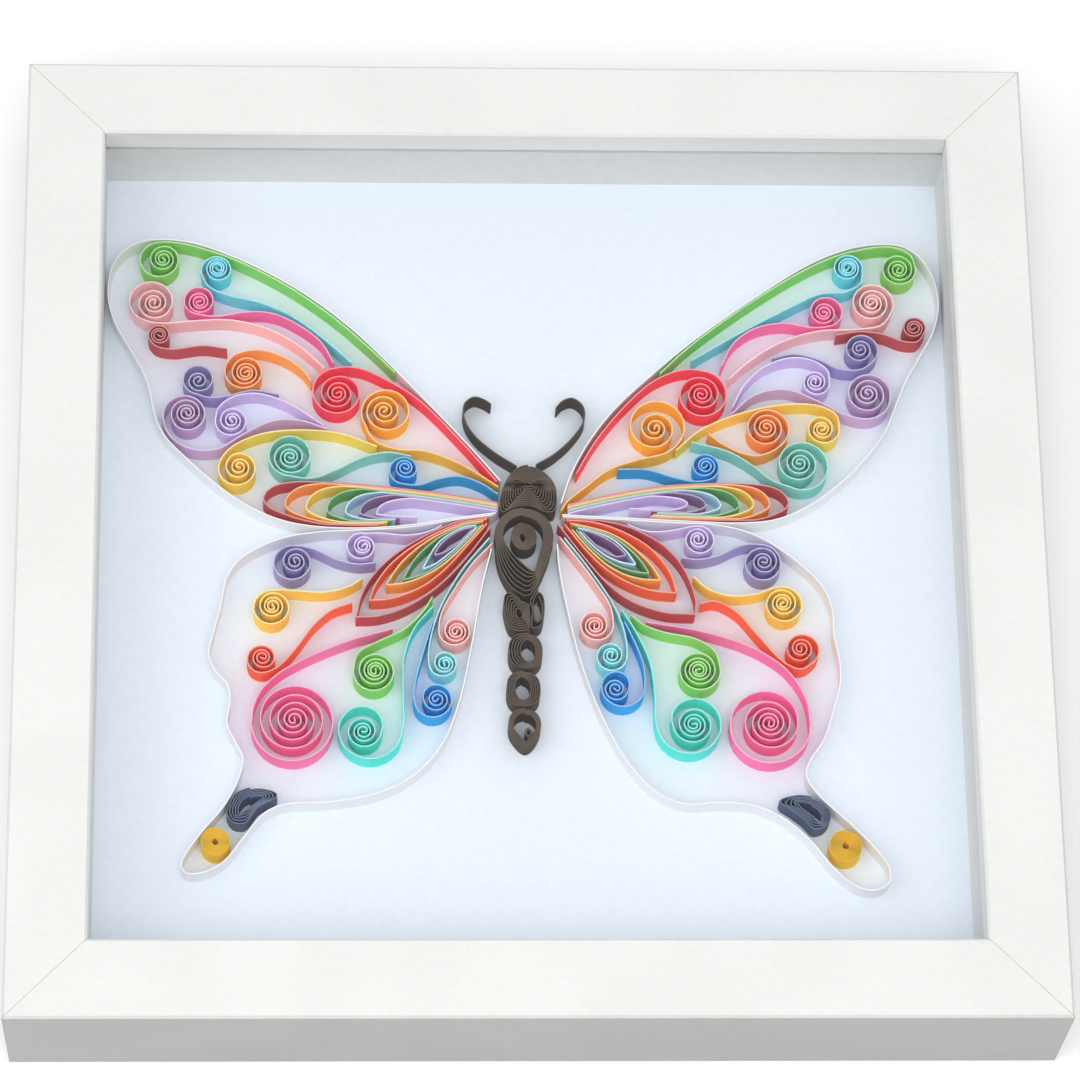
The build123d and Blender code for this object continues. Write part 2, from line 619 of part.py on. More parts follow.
# Half-moon coils and tight round coils in the hindwing tails
rolls(
    "slate_drops",
    [
        [(-60.8, -62.2), (-66, -65.6), (-69.7, -70.1), (-72.5, -69.7), (-74.2, -67), (-73.2, -64.3),
         (-72, -62), (-69, -60.6), (-66, -60.3), (-63, -60.9)],
        [(59.2, -63.7), (62, -65.9), (65, -68.4), (68, -71.5), (70.2, -70.8), (72.3, -68.4),
         (72, -66), (70.3, -64.2), (67.5, -62.7), (64.5, -62.2), (61.5, -62.7)],
    ],
    [
        [(-70.6, -66.9), (-68.2, -65.2), (-65.2, -63), (-67.4, -62.9), (-70, -64.4)],
        [(64.2, -64.4), (67, -66.7), (69.2, -69), (69.4, -66.9), (67, -65)],
    ],
)
rolls(
    "tight_yellow_coils",
    [barrel(-76.4, -74.3, 3.75, 3.75, 1, 14), barrel(75.4, -75.3, 4.2, 4.2, 1, 14)],
    [barrel(-76.4, -74.3, 0.65, 0.65, 1, 6), barrel(75.4, -75.3, 0.65, 0.65, 1, 6)],
)

# Body: the head caps the round thorax, four coils follow down the abdomen
thorax_x = -1.2
thorax_y = 5.6
thorax_radius = 7.5
seam = 0.35
rolls(
    "head",
    [
        arc(thorax_x, thorax_y, thorax_radius + seam, 130, 52, 7)
        + [(6.4, 11.6), (7.2, 13.4), (7.4, 16), (6.6, 19.5), (4.6, 22.6), (1.8, 24.4), (0, 24.7)]
        + [(-2, 24.3), (-4.4, 22.4), (-6.2, 19), (-7.2, 15.8), (-7.5, 13.4), (-7.1, 11.7)]
    ],
    [barrel(-2.5, 19.3, 1.3, 1, 1, 8), barrel(2.5, 19.3, 1.3, 1, 1, 8)],
)
rolls(
    "thorax",
    [
        arc(thorax_x, thorax_y, thorax_radius, -25, 195, 14)
        + [(-8.4, 0.8), (-7.7, -3), (-6.3, -6.5), (-4.6, -9), (-2.4, -10.6), (-0.4, -11.3)]
    ],
    [teardrop(-1.4, 6.2, 5.1, (1, -4.2), 12)],
    [([(-4.2, 11.3)] + coil((-1.2, 6, 4.1), (-1, 5.2, 2.4), 100, ccw, 1.8, 9), 0.9)],
)
rolls(
    "abdomen_coil_1",
    [
        [(-6.1, -9.8), (-5, -9.5), (-2.6, -11.1), (-0.3, -11.8), (1.55, -8.8), (2.7, -8.4)]
        + [(3.6, -9.6), (3.9, -12), (3.6, -15.5), (2.3, -19.2), (-1.4, -19.8), (-4.9, -19.4)]
        + [(-6.2, -16.5), (-6.7, -13)]
    ],
    [barrel(1.8, -14, 0.7, 2.6, 1, 8)],
)
rolls("abdomen_coil_2", [barrel(-1.3, -25, 4.4, 4.75, 0.8, 18)], [barrel(-0.5, -25, 1.4, 2.6, 1, 10)])
rolls("abdomen_coil_3", [barrel(-1.8, -34.9, 4.4, 4.75, 0.8, 18)], [barrel(-2, -34.8, 1.55, 2.75, 1, 10)])
rolls(
    "abdomen_coil_4",
    [teardrop(-1.7, -44.1, 4.15, (-1.6, -50.4), 14)],
    [teardrop(-1.7, -44.2, 2.6, (-1.5, -49), 10)],
    [([(1.4, -44.2), (0.4, -45.3), (-0.8, -45.2), (-1.6, -46.1), (-1.2, -47.1), (-0.3, -46.8)], 0.5)],
)
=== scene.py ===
"""Looks of the quilled paper butterfly: wound paper strips, wrapped frame, card and glazing."""

import logging
from dataclasses import dataclass, field
from enum import Enum
from math import acos, atan2, cos, hypot, pi, radians, sin
from typing import Any, Callable, Iterable, Sequence

import bmesh
import bpy
import numpy as np
from mathutils import Matrix, Vector


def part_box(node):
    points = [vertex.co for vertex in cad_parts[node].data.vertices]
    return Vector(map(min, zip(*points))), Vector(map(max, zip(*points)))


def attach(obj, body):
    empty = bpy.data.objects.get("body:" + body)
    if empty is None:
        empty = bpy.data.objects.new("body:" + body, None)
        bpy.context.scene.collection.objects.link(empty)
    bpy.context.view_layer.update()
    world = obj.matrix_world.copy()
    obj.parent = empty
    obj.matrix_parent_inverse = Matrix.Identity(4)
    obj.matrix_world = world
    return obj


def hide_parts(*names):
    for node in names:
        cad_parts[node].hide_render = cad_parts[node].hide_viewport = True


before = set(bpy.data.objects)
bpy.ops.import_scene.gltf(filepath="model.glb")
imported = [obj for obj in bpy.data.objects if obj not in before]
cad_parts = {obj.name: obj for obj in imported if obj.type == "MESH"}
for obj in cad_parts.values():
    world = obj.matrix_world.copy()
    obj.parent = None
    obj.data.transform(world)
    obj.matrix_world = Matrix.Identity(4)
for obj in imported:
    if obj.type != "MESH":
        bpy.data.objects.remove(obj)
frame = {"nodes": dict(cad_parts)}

LOG = logging.getLogger("butterfly")

MM = 0.001
BODY = "root"
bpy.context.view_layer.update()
SHARP_ANGLE = radians(40)

Point = tuple[float, float]
Ring = tuple[float, float, float]
Line = tuple[Point, ...]
Route = list[Point]


class Winding(Enum):
    """Which way a strip is wound from its outer turn to its core."""

    CCW = 1
    CW = -1


class Side(Enum):
    """Which half of the butterfly a piece is on."""

    LEFT = -1
    RIGHT = 1


@dataclass(frozen=True)
class StripStock:
    """The paper strips as cut: how high they stand on the card, and how thick they are, in millimetres."""

    foot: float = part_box("backing_card")[1][2] / MM
    top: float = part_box("antennae")[1][2] / MM
    thickness: float = 0.3
    lane: float = 0.38


STOCK = StripStock()


def smooth_curve(points: Sequence[Point], pieces: int) -> Route:
    """Runs a centripetal Catmull-Rom curve through points.

    Args:
        points: The points that the curve passes.
        pieces: How many straight pieces each span is made of.

    Returns:
        The curve's points, the first and last of the given ones included.
    """
    knots = [np.array(p, float) for p in points]
    knots = [2 * knots[0] - knots[1]] + knots + [2 * knots[-1] - knots[-2]]
    curve: Route = []
    for a, b, c, d in zip(knots, knots[1:], knots[2:], knots[3:]):
        t1 = np.linalg.norm(b - a) ** 0.5
        t2 = t1 + np.linalg.norm(c - b) ** 0.5
        t3 = t2 + np.linalg.norm(d - c) ** 0.5
        for t in np.linspace(t1, t2, pieces, endpoint=False):
            ab = a + (b - a) * t / t1
            bc = b + (c - b) * (t - t1) / (t2 - t1)
            cd = c + (d - c) * (t - t2) / (t3 - t2)
            near = ab + (bc - ab) * t / t2
            far = bc + (cd - bc) * (t - t1) / (t3 - t1)
            curve.append(tuple(near + (far - near) * (t - t1) / (t2 - t1)))
    curve.append(tuple(knots[-2]))
    return curve


def height_at(curve: Sequence[Point], x: float) -> float:
    """Returns the curve's y at x, for a curve that runs one way along x."""
    ordered = np.array(sorted(curve))
    return float(np.interp(x, ordered[:, 0], ordered[:, 1]))


@dataclass(frozen=True)
class Scroll:
    """A strip wound to a coil with a loose tail, in millimetres.

    Its outer turn and the start of its core are rings of x, y and radius. The hook's points are shares of the
    eye's radius and degrees past the coil's end.
    """

    outer: Ring
    core: Ring
    turns: float
    start: float
    winding: Winding
    tail: Line
    steps: int = 32
    eye: float = 1.05
    tightest: float = 0.45
    loosest: float = 0.5
    hook: Line = ((0.8, 42), (0.28, 75), (0.5, 205))
    hook_pieces: int = 5
    tail_pieces: int = 8

    def coil(self) -> Route:
        """Returns the coil's points from its outer end in to the hook that the winding tool leaves."""
        (x0, y0, r0), (x1, y1, r1) = self.outer, self.core
        slack = min(self.loosest, max(0.0, 1 - self.tightest * (self.turns - 1) / (r1 - self.eye)))
        points: Route = []
        for turn in np.linspace(0, self.turns, round(self.turns * self.steps) + 1):
            drift = min(turn, 1.0) ** 2
            radius = r0 + (r1 - r0) * drift
            if turn > 1:
                left = 1 - (turn - 1) / (self.turns - 1)
                radius = self.eye + (r1 - self.eye) * left * (1 + slack * (left - 1))
            angle = radians(self.start) + self.winding.value * 2 * pi * turn
            x = x0 + (x1 - x0) * drift + radius * cos(angle)
            y = y0 + (y1 - y0) * drift + radius * sin(angle)
            points.append((x, y))
        inner_end = points[-2:]
        for reach, turned in self.hook:
            bent = angle + self.winding.value * radians(turned)
            inner_end.append((x1 + reach * self.eye * cos(bent), y1 + reach * self.eye * sin(bent)))
        return points[:-2] + smooth_curve(inner_end, self.hook_pieces)

    def route(self) -> Route:
        """Returns the whole strip's points, from the hook out to the tail's end."""
        coil = self.coil()
        lead = [coil[8], coil[4], coil[0]]
        tail = smooth_curve(lead + list(self.tail), self.tail_pieces)
        return coil[::-1] + tail[2 * self.tail_pieces + 1:]


@dataclass(frozen=True)
class NestedLoop:
    """One of the loops laid inside each other.

    It runs out along the upper guide, round the nose and back along the lower guide.
    """

    side: Side
    number: int
    nose: Point
    heel: float
    end: float
    upper: Line
    lower: Line
    nose_length: float = 9.0
    step: float = 1.5
    guide_pieces: int = 12
    bend_pieces: int = 6
    upper_bend: Line = ((3.6, 0.82), (0.9, 0.46), (0.0, 0.0))
    lower_bend: Line = ((0.08, 0.30), (0.35, 0.62), (0.68, 0.87))

    def lane(self, guide: Sequence[Point], start: float, end: float, drop: float) -> Route:
        """Follows a guide line.

        Args:
            guide: The outermost loop's line.
            start: Where along x the lane starts.
            end: Where along x it ends.
            drop: How far below the guide the lane lies.

        Returns:
            The lane's points.
        """
        curve = smooth_curve(guide, self.guide_pieces)
        count = max(2, int(abs(end - start) / self.step))
        return [(float(x), height_at(curve, x) - drop) for x in np.linspace(start, end, count + 1)]

    def route(self) -> Route:
        """Returns the loop's points from its root to its loose end."""
        out = self.side.value
        drop = self.number * STOCK.lane
        x, y = self.nose
        going = self.lane(self.upper, self.upper[0][0], x - out * self.nose_length, drop)
        coming = self.lane(self.lower, x - out * self.heel, self.end, -drop)
        rise = going[-1][1] - y
        fall = y - coming[0][1]
        turn = [(x - out * back, y + rise * share) for back, share in self.upper_bend]
        for back, share in self.lower_bend:
            turn.append((x - out * self.heel * back, y - fall * share))
        bend = smooth_curve(going[-2:] + turn + coming[:2], self.bend_pieces)
        return going[:-1] + bend[self.bend_pieces:-self.bend_pieces] + coming[1:]


@dataclass(frozen=True)
class FoldedPetal:
    """A strip folded to a point at its sharpest corner."""

    points: Line
    pieces: int = 6
    fold_gap: float = 0.26
    fold_points: int = 9
    fold_margin: float = 1.05

    def route(self) -> Route:
        """Returns the petal's points, with the fold's point slightly rounded."""
        knots = np.array(self.points)
        legs = np.diff(knots, axis=0)
        heading = np.arctan2(legs[:, 1], legs[:, 0])
        turning = np.abs((np.diff(heading) + pi) % (2 * pi) - pi)
        tip_at = int(np.argmax(turning)) + 1
        tip = knots[tip_at]
        going = smooth_curve(self.points[: tip_at + 1], self.pieces)
        coming = smooth_curve(self.points[tip_at:], self.pieces)
        u = (np.array(going[-2]) - tip) / np.linalg.norm(np.array(going[-2]) - tip)
        v = (np.array(coming[1]) - tip) / np.linalg.norm(np.array(coming[1]) - tip)
        back = self.fold_gap / sin(acos(float(np.clip(u @ v, -1, 1))) / 2)
        bend = []
        for t in np.linspace(0, 1, self.fold_points):
            bend.append(tuple(tip + (1 - t) ** 2 * back * u + t * t * back * v))

        def clear(p: Point) -> bool:
            """Tells whether a point lies outside the fold's rounding."""
            return hypot(p[0] - tip[0], p[1] - tip[1]) > self.fold_margin * back

        return [p for p in going if clear(p)] + bend + [p for p in coming if clear(p)]


@dataclass(frozen=True)
class PlainStrip:
    """A strip bent along a free line."""

    points: Line
    pieces: int = 6

    def route(self) -> Route:
        """Returns the smooth line through the strip's points."""
        return smooth_curve(self.points, self.pieces)


@dataclass(frozen=True)
class WoundBand:
    """A strip wound turn on turn between an outline and the outline of the opening that it leaves."""

    outline: Line
    opening: Line
    turns: int
    start: float = 90.0
    steps: int = 72
    ring_pieces: int = 8

    def polar(self, ring: Sequence[Point], centre: Point) -> Callable[[float], float]:
        """Reads a closed ring as a radius by angle.

        Args:
            ring: The ring's corner points.
            centre: The point that the angles are taken at.

        Returns:
            A function from an angle to the ring's radius there.
        """
        dense = smooth_curve(list(ring[-2:]) + list(ring) + list(ring[:2]), self.ring_pieces)
        angles = np.array([atan2(y - centre[1], x - centre[0]) for x, y in dense])
        radii = np.array([hypot(x - centre[0], y - centre[1]) for x, y in dense])
        order = np.argsort(angles)
        return lambda a: float(np.interp(atan2(sin(a), cos(a)), angles[order], radii[order], period=2 * pi))

    def route(self) -> Route:
        """Returns the strip's points from its outer end in to the opening."""
        centre = tuple(np.mean(np.array(self.opening), axis=0))
        outer = self.polar(self.outline, centre)
        inner = self.polar(self.opening, centre)
        half = STOCK.thickness / 2
        points: Route = []
        for turn in np.linspace(0, self.turns, self.turns * self.steps + 1):
            angle = radians(self.start) + 2 * pi * turn
            share = turn / self.turns
            radius = (outer(angle) - half) * (1 - share) + (inner(angle) + half) * share
            points.append((centre[0] + radius * cos(angle), centre[1] + radius * sin(angle)))
        return points


def stand_strips(name: str, routes: Iterable[Route], thickness: float) -> bpy.types.Object:
    """Stands strips on edge on the card.

    Args:
        name: The new object's name.
        routes: The centre lines of the strips, in millimetres.
        thickness: The strips' thickness in millimetres.

    Returns:
        The mesh object.
    """
    mesh_data = bmesh.new()
    for route in routes:
        foot = [mesh_data.verts.new((x * MM, y * MM, STOCK.foot * MM)) for x, y in route]
        for a, b in zip(foot, foot[1:]):
            mesh_data.edges.new((a, b))
    raised = bmesh.ops.extrude_edge_only(mesh_data, edges=mesh_data.edges[:])["geom"]
    lifted = [item for item in raised if isinstance(item, bmesh.types.BMVert)]
    bmesh.ops.translate(mesh_data, verts=lifted, vec=(0, 0, (STOCK.top - STOCK.foot) * MM))
    mesh_data.normal_update()
    for vert in mesh_data.verts:
        vert.co -= vert.normal * (thickness * MM / 2)
    bmesh.ops.solidify(mesh_data, geom=mesh_data.faces[:], thickness=-thickness * MM)
    bmesh.ops.recalc_face_normals(mesh_data, faces=mesh_data.faces[:])
    mesh = bpy.data.meshes.new(name)
    mesh_data.to_mesh(mesh)
    mesh_data.free()
    mesh.shade_smooth()
    mesh.set_sharp_from_angle(angle=SHARP_ANGLE)
    piece = bpy.data.objects.new(name, mesh)
    bpy.context.collection.objects.link(piece)
    return piece


class Value:
    """A number in a shader: a socket or a constant, with arithmetic that adds Math nodes."""

    def __init__(self, nodes: "ShaderNodes", source: Any) -> None:
        """Wraps a socket or a number."""
        self.nodes = nodes
        self.source = source

    def math(self, operation: str, *others: Any) -> "Value":
        """Adds one Math node.

        Args:
            operation: The Math node's operation.
            others: The further operands, values or numbers.

        Returns:
            The node's result.
        """
        inputs = {i: item for i, item in enumerate((self, *others))}
        return self.nodes.value("ShaderNodeMath", {"operation": operation}, inputs)

    def __add__(self, other: Any) -> "Value":
        """Adds."""
        return self.math("ADD", other)

    __radd__ = __add__

    def __sub__(self, other: Any) -> "Value":
        """Subtracts."""
        return self.math("SUBTRACT", other)

    def __rsub__(self, other: Any) -> "Value":
        """Subtracts from a number."""
        return Value(self.nodes, other).math("SUBTRACT", self)

    def __mul__(self, other: Any) -> "Value":
        """Multiplies."""
        return self.math("MULTIPLY", other)

    __rmul__ = __mul__

    def __abs__(self) -> "Value":
        """Takes the absolute value."""
        return self.math("ABSOLUTE")

    def ramp(self, low: float, high: float) -> "Value":
        """Returns 0 below low, 1 above high and a smooth rise between them."""
        settings = {"interpolation_type": "SMOOTHSTEP"}
        inputs = {"Value": self, "From Min": low, "From Max": high}
        return self.nodes.value("ShaderNodeMapRange", settings, inputs)


class ShaderNodes:
    """The node tree of one material or of the world, with one way to add a node."""

    def __init__(self, name: str, world: bpy.types.World | None = None) -> None:
        """Starts an empty material, or empties the world's tree."""
        self.material = world or bpy.data.materials.new(name)
        self.material.use_nodes = True
        self.tree = self.material.node_tree
        self.tree.nodes.clear()
        self.place = self.add("ShaderNodeTexCoord").outputs["Object"]

    def add(self, kind: str, settings: dict[str, Any] | None = None,
            inputs: dict[Any, Any] | None = None) -> bpy.types.Node:
        """Adds a node.

        Args:
            kind: The node's type.
            settings: Its properties, set before its sockets.
            inputs: Values or links of its sockets, by name or number.

        Returns:
            The node.
        """
        node = self.tree.nodes.new(kind)
        for key, setting in (settings or {}).items():
            setattr(node, key, setting)
        for key, item in (inputs or {}).items():
            source = item.source if isinstance(item, Value) else item
            if isinstance(source, bpy.types.NodeSocket):
                self.tree.links.new(source, node.inputs[key])
            else:
                node.inputs[key].default_value = source
        return node

    def value(self, kind: str, settings: dict[str, Any] | None = None,
              inputs: dict[Any, Any] | None = None, output: Any = 0) -> Value:
        """Adds a node and returns one of its outputs as a value."""
        return Value(self, self.add(kind, settings, inputs).outputs[output])

    def axes(self) -> tuple[Value, Value, Value]:
        """Returns the surface point's x, y and z in metres."""
        split = self.add("ShaderNodeSeparateXYZ", None, {0: self.place})
        return tuple(Value(self, split.outputs[i]) for i in range(3))

    def noise(self, scale: float, detail: float = 3.0, stretch: Sequence[float] = (1, 1, 1)) -> Value:
        """Adds noise over the surface.

        Args:
            scale: How many blotches there are to a metre.
            detail: How many finer layers it has.
            stretch: Scales along x, y and z.

        Returns:
            The noise, about 0 to 1 with its mean at one half.
        """
        mapped = self.add("ShaderNodeMapping", None, {"Vector": self.place, "Scale": tuple(stretch)})
        inputs = {"Vector": mapped.outputs[0], "Scale": scale, "Detail": detail}
        return self.value("ShaderNodeTexNoise", None, inputs)

    def blend(self, share: Value, first: Any, second: Any) -> bpy.types.NodeSocket:
        """Mixes two colours.

        Args:
            share: How much of the second colour shows.
            first: A colour or a colour socket.
            second: A colour or a colour socket.

        Returns:
            The mixed colour's socket.
        """
        inputs = {"Factor": share, 6: first, 7: second}
        return self.add("ShaderNodeMix", {"data_type": "RGBA"}, inputs).outputs[2]

    def seen(self) -> Value:
        """Returns 1 where the camera looks, straight or by a mirror or a pane, and 0 for light on its way."""
        path = self.add("ShaderNodeLightPath")
        rays = [Value(self, path.outputs[f"Is {kind} Ray"]) for kind in ("Camera", "Glossy", "Transmission")]
        return rays[0].math("MAXIMUM", rays[1]).math("MAXIMUM", rays[2])

    def bump(self, height: Value, strength: float, distance: float) -> bpy.types.NodeSocket:
        """Turns a height into a normal.

        Args:
            height: The height, about 0 to 1.
            strength: How much of it shows.
            distance: The height's real size in metres.

        Returns:
            The normal's socket.
        """
        inputs = {"Height": height, "Strength": strength, "Distance": distance}
        return self.add("ShaderNodeBump", None, inputs).outputs[0]

    def surface(self, **inputs: Any) -> bpy.types.Material:
        """Closes the tree with a Principled shader whose sockets are named with underscores for spaces."""
        named = {key.replace("_", " "): item for key, item in inputs.items()}
        shader = self.add("ShaderNodeBsdfPrincipled", {"subsurface_method": "BURLEY"}, named)
        return self.close(shader)

    def close(self, shader: bpy.types.Node) -> bpy.types.Material:
        """Links a shader to the output and returns the material."""
        self.add("ShaderNodeOutputMaterial", None, {"Surface": shader.outputs[0]})
        return self.material


def linear(code: str) -> tuple[float, float, float, float]:
    """Turns a colour as six hexadecimal digits into the linear colour that a shader takes."""
    parts = [int(code[i:i + 2], 16) / 255 for i in (0, 2, 4)]
    return (*[p / 12.92 if p <= 0.04045 else ((p + 0.055) / 1.055) ** 2.4 for p in parts], 1.0)


@dataclass(frozen=True)
class Paper:
    """Matt dyed paper with fine paler fibres and a painted highlight along the strips' top edge."""

    name: str
    colour: str
    # The edge colour tints the pale fibres and is also the colour of the painted highlight on the top edge;
    # the share after it sets how strongly that highlight is painted.
    edge: str = "FFFFFF"
    highlight_share: float = 0.28
    roughness: float = 0.72
    glow: float = 0.75
    fibre_scale: float = 900.0
    fibre_tint: float = 0.03
    even_tint: float = 0.01
    fibre_height: float = 0.00005
    scatter: float = 0.0009

    def material(self) -> bpy.types.Material:
        """Builds the paper's material."""
        nodes = ShaderNodes(self.name)
        height = nodes.axes()[2]
        fibres = nodes.noise(self.fibre_scale, 1, (1, 1, 2.5))
        pale = fibres.ramp(0.35, 0.75) * self.fibre_tint + self.even_tint
        sheet = nodes.blend(pale, linear(self.colour), linear(self.edge))
        # Painted highlight: the top 0.05 mm of each strip, where the light from above falls, is lightened
        # towards the edge colour.
        cut = height.ramp((STOCK.top - 0.06) * MM, (STOCK.top - 0.01) * MM)
        colour = nodes.blend(cut * self.highlight_share, sheet, linear(self.edge))
        return nodes.surface(
            Base_Color=colour,
            Roughness=self.roughness + 0.16 * (fibres - 0.5),
            Normal=nodes.bump(fibres, 0.25, self.fibre_height),
            Specular_IOR_Level=0.28,
            Subsurface_Weight=self.glow,
            Subsurface_Scale=self.scatter,
            Subsurface_Radius=(1, 1, 1),
        )


@dataclass(frozen=True)
class FoilWrap:
    """White foil with a fine embossed grain, wrapped over the frame's rails, with hairline mitre joints."""

    name: str = "white_wrapped_rail"
    colour: str = "F1F2EF"
    shade: str = "EAEBE8"
    joint: str = "B4B3AE"
    joint_width: float = 0.28

    def material(self) -> bpy.types.Material:
        """Builds the wrap's material."""
        nodes = ShaderNodes(self.name)
        x, y, _ = nodes.axes()
        grain = nodes.noise(520, 1)
        cloud = nodes.noise(45, 0)
        white = nodes.blend(cloud.ramp(0.3, 0.7) * 0.5 + grain.ramp(0.45, 0.7) * 0.3, linear(self.colour),
                            linear(self.shade))
        joint = 1 - abs(abs(x) - abs(y)).ramp(0.2 * self.joint_width * MM, self.joint_width * MM)
        return nodes.surface(
            Base_Color=nodes.blend(joint * 0.6, white, linear(self.joint)),
            Roughness=0.42 + 0.18 * (grain - 0.5),
            Normal=nodes.bump(grain, 0.4, 0.0003),
            Specular_IOR_Level=0.4,
        )


@dataclass(frozen=True)
class PlainSheet:
    """Matt sheet stock: card, spacer board or bare fibreboard."""

    name: str
    colour: str
    second: str
    fleck: float = 400.0
    grain_height: float = 0.00004
    roughness: float = 0.8

    def material(self) -> bpy.types.Material:
        """Builds the sheet's material."""
        nodes = ShaderNodes(self.name)
        fleck = nodes.noise(self.fleck, 1)
        cloud = nodes.noise(14, 0)
        return nodes.surface(
            Base_Color=nodes.blend(fleck.ramp(0.3, 0.75) * 0.6 + cloud * 0.3, linear(self.colour),
                                   linear(self.second)),
            Roughness=self.roughness + 0.15 * (fleck - 0.5),
            Normal=nodes.bump(fleck, 0.3, self.grain_height),
            Specular_IOR_Level=0.25,
        )


@dataclass(frozen=True)
class StampedSteel:
    """Bright stamped steel with rolling marks."""

    name: str = "stamped_steel"
    colour: str = "C3C4C6"
    second: str = "A4A5A8"

    def material(self) -> bpy.types.Material:
        """Builds the steel's material."""
        nodes = ShaderNodes(self.name)
        marks = nodes.noise(500, 4, (1, 8, 1))
        return nodes.surface(
            Base_Color=nodes.blend(marks.ramp(0.3, 0.7), linear(self.colour), linear(self.second)),
            Metallic=1.0,
            Roughness=0.32 + 0.2 * (marks - 0.5),
            Normal=nodes.bump(marks, 0.15, 0.00003),
        )


@dataclass(frozen=True)
class ClearPane:
    """Clear thin glazing: it shows what is behind it and mirrors a little, more at a slant."""

    name: str = "clear_pane"
    tint: str = "FFFFFF"
    straight: float = 0.012
    grazing: float = 0.5

    def material(self) -> bpy.types.Material:
        """Builds the pane's material."""
        nodes = ShaderNodes(self.name)
        clear = nodes.add("ShaderNodeBsdfTransparent", None, {"Color": linear(self.tint)})
        mirror = nodes.add("ShaderNodeBsdfPrincipled", None, {
            "Base Color": linear("FFFFFF"), "Metallic": 1.0, "Roughness": 0.05})
        facing = nodes.value("ShaderNodeLayerWeight", None, {"Blend": 0.5}, "Facing")
        share = self.straight + self.grazing * facing.math("POWER", 5.0)
        mix = nodes.add("ShaderNodeMixShader", None, {0: share, 1: clear.outputs[0], 2: mirror.outputs[0]})
        return nodes.close(mix)


PAPER_COLOURS = {
    "green": "97DF6C", "deep_green": "66AE68", "teal": "70DFEE", "hot_pink": "FD79B4", "salmon": "FDCBCC",
    "dark_red": "C4424A", "orange": "FDA449", "violet": "A096CE", "purple": "CFAED8", "lavender": "DECBF4",
    "red": "FD3A5A", "gold": "FFBE30", "yellow": "FFDC56", "sea_green": "88D9CD", "blue": "0DA8ED",
    "red_orange": "FC6236", "pink": "FD7AB3", "turquoise": "50E6DA", "light_teal": "92E9EF",
    "coral": "FDBEB8", "orange_red": "FD6E39", "amber": "FFBC4C", "light_blue": "BEE3F8", "plum": "9C74A6",
}

PAPERS = {
    paper.name: paper
    for paper in (
        Paper("white_paper", "F8F8FB", highlight_share=0.5, glow=0.0),
        Paper("brown_paper", "453A32", edge="8E8070", highlight_share=0.26, glow=0.0),
        *(Paper(f"{name}_paper", colour) for name, colour in PAPER_COLOURS.items()),
        Paper("slate_paper", "586889", edge="9AA4BC", glow=0.0),
        Paper("bright_yellow_paper", "FFCC2A", highlight_share=0.0, glow=0.0),
    )
}


@dataclass
class QuilledPiece:
    """One node of paper strips: the strips, the paper they are cut from and their tone where it differs."""

    node: str
    paper: str
    strips: tuple[Any, ...]
    thickness: float = STOCK.thickness
    tone: str | None = None

    def build(self) -> bpy.types.Object:
        """Makes the strips' mesh in place of the node's plain solids."""
        piece = stand_strips(f"{self.node}_paper", [strip.route() for strip in self.strips], self.thickness)
        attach(piece, BODY)
        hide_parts(self.node)
        return piece

    def dress(self, piece: bpy.types.Object, materials: dict[str, bpy.types.Material]) -> None:
        """Gives the strips their paper."""
        piece.data.materials.append(materials[self.tone or self.paper])
        LOG.info("%s: %d strips of %s", self.node, len(self.strips), self.paper)


DEEPER_TONES = {"green": "deep_green_paper"}
CCW = Winding.CCW
CW = Winding.CW


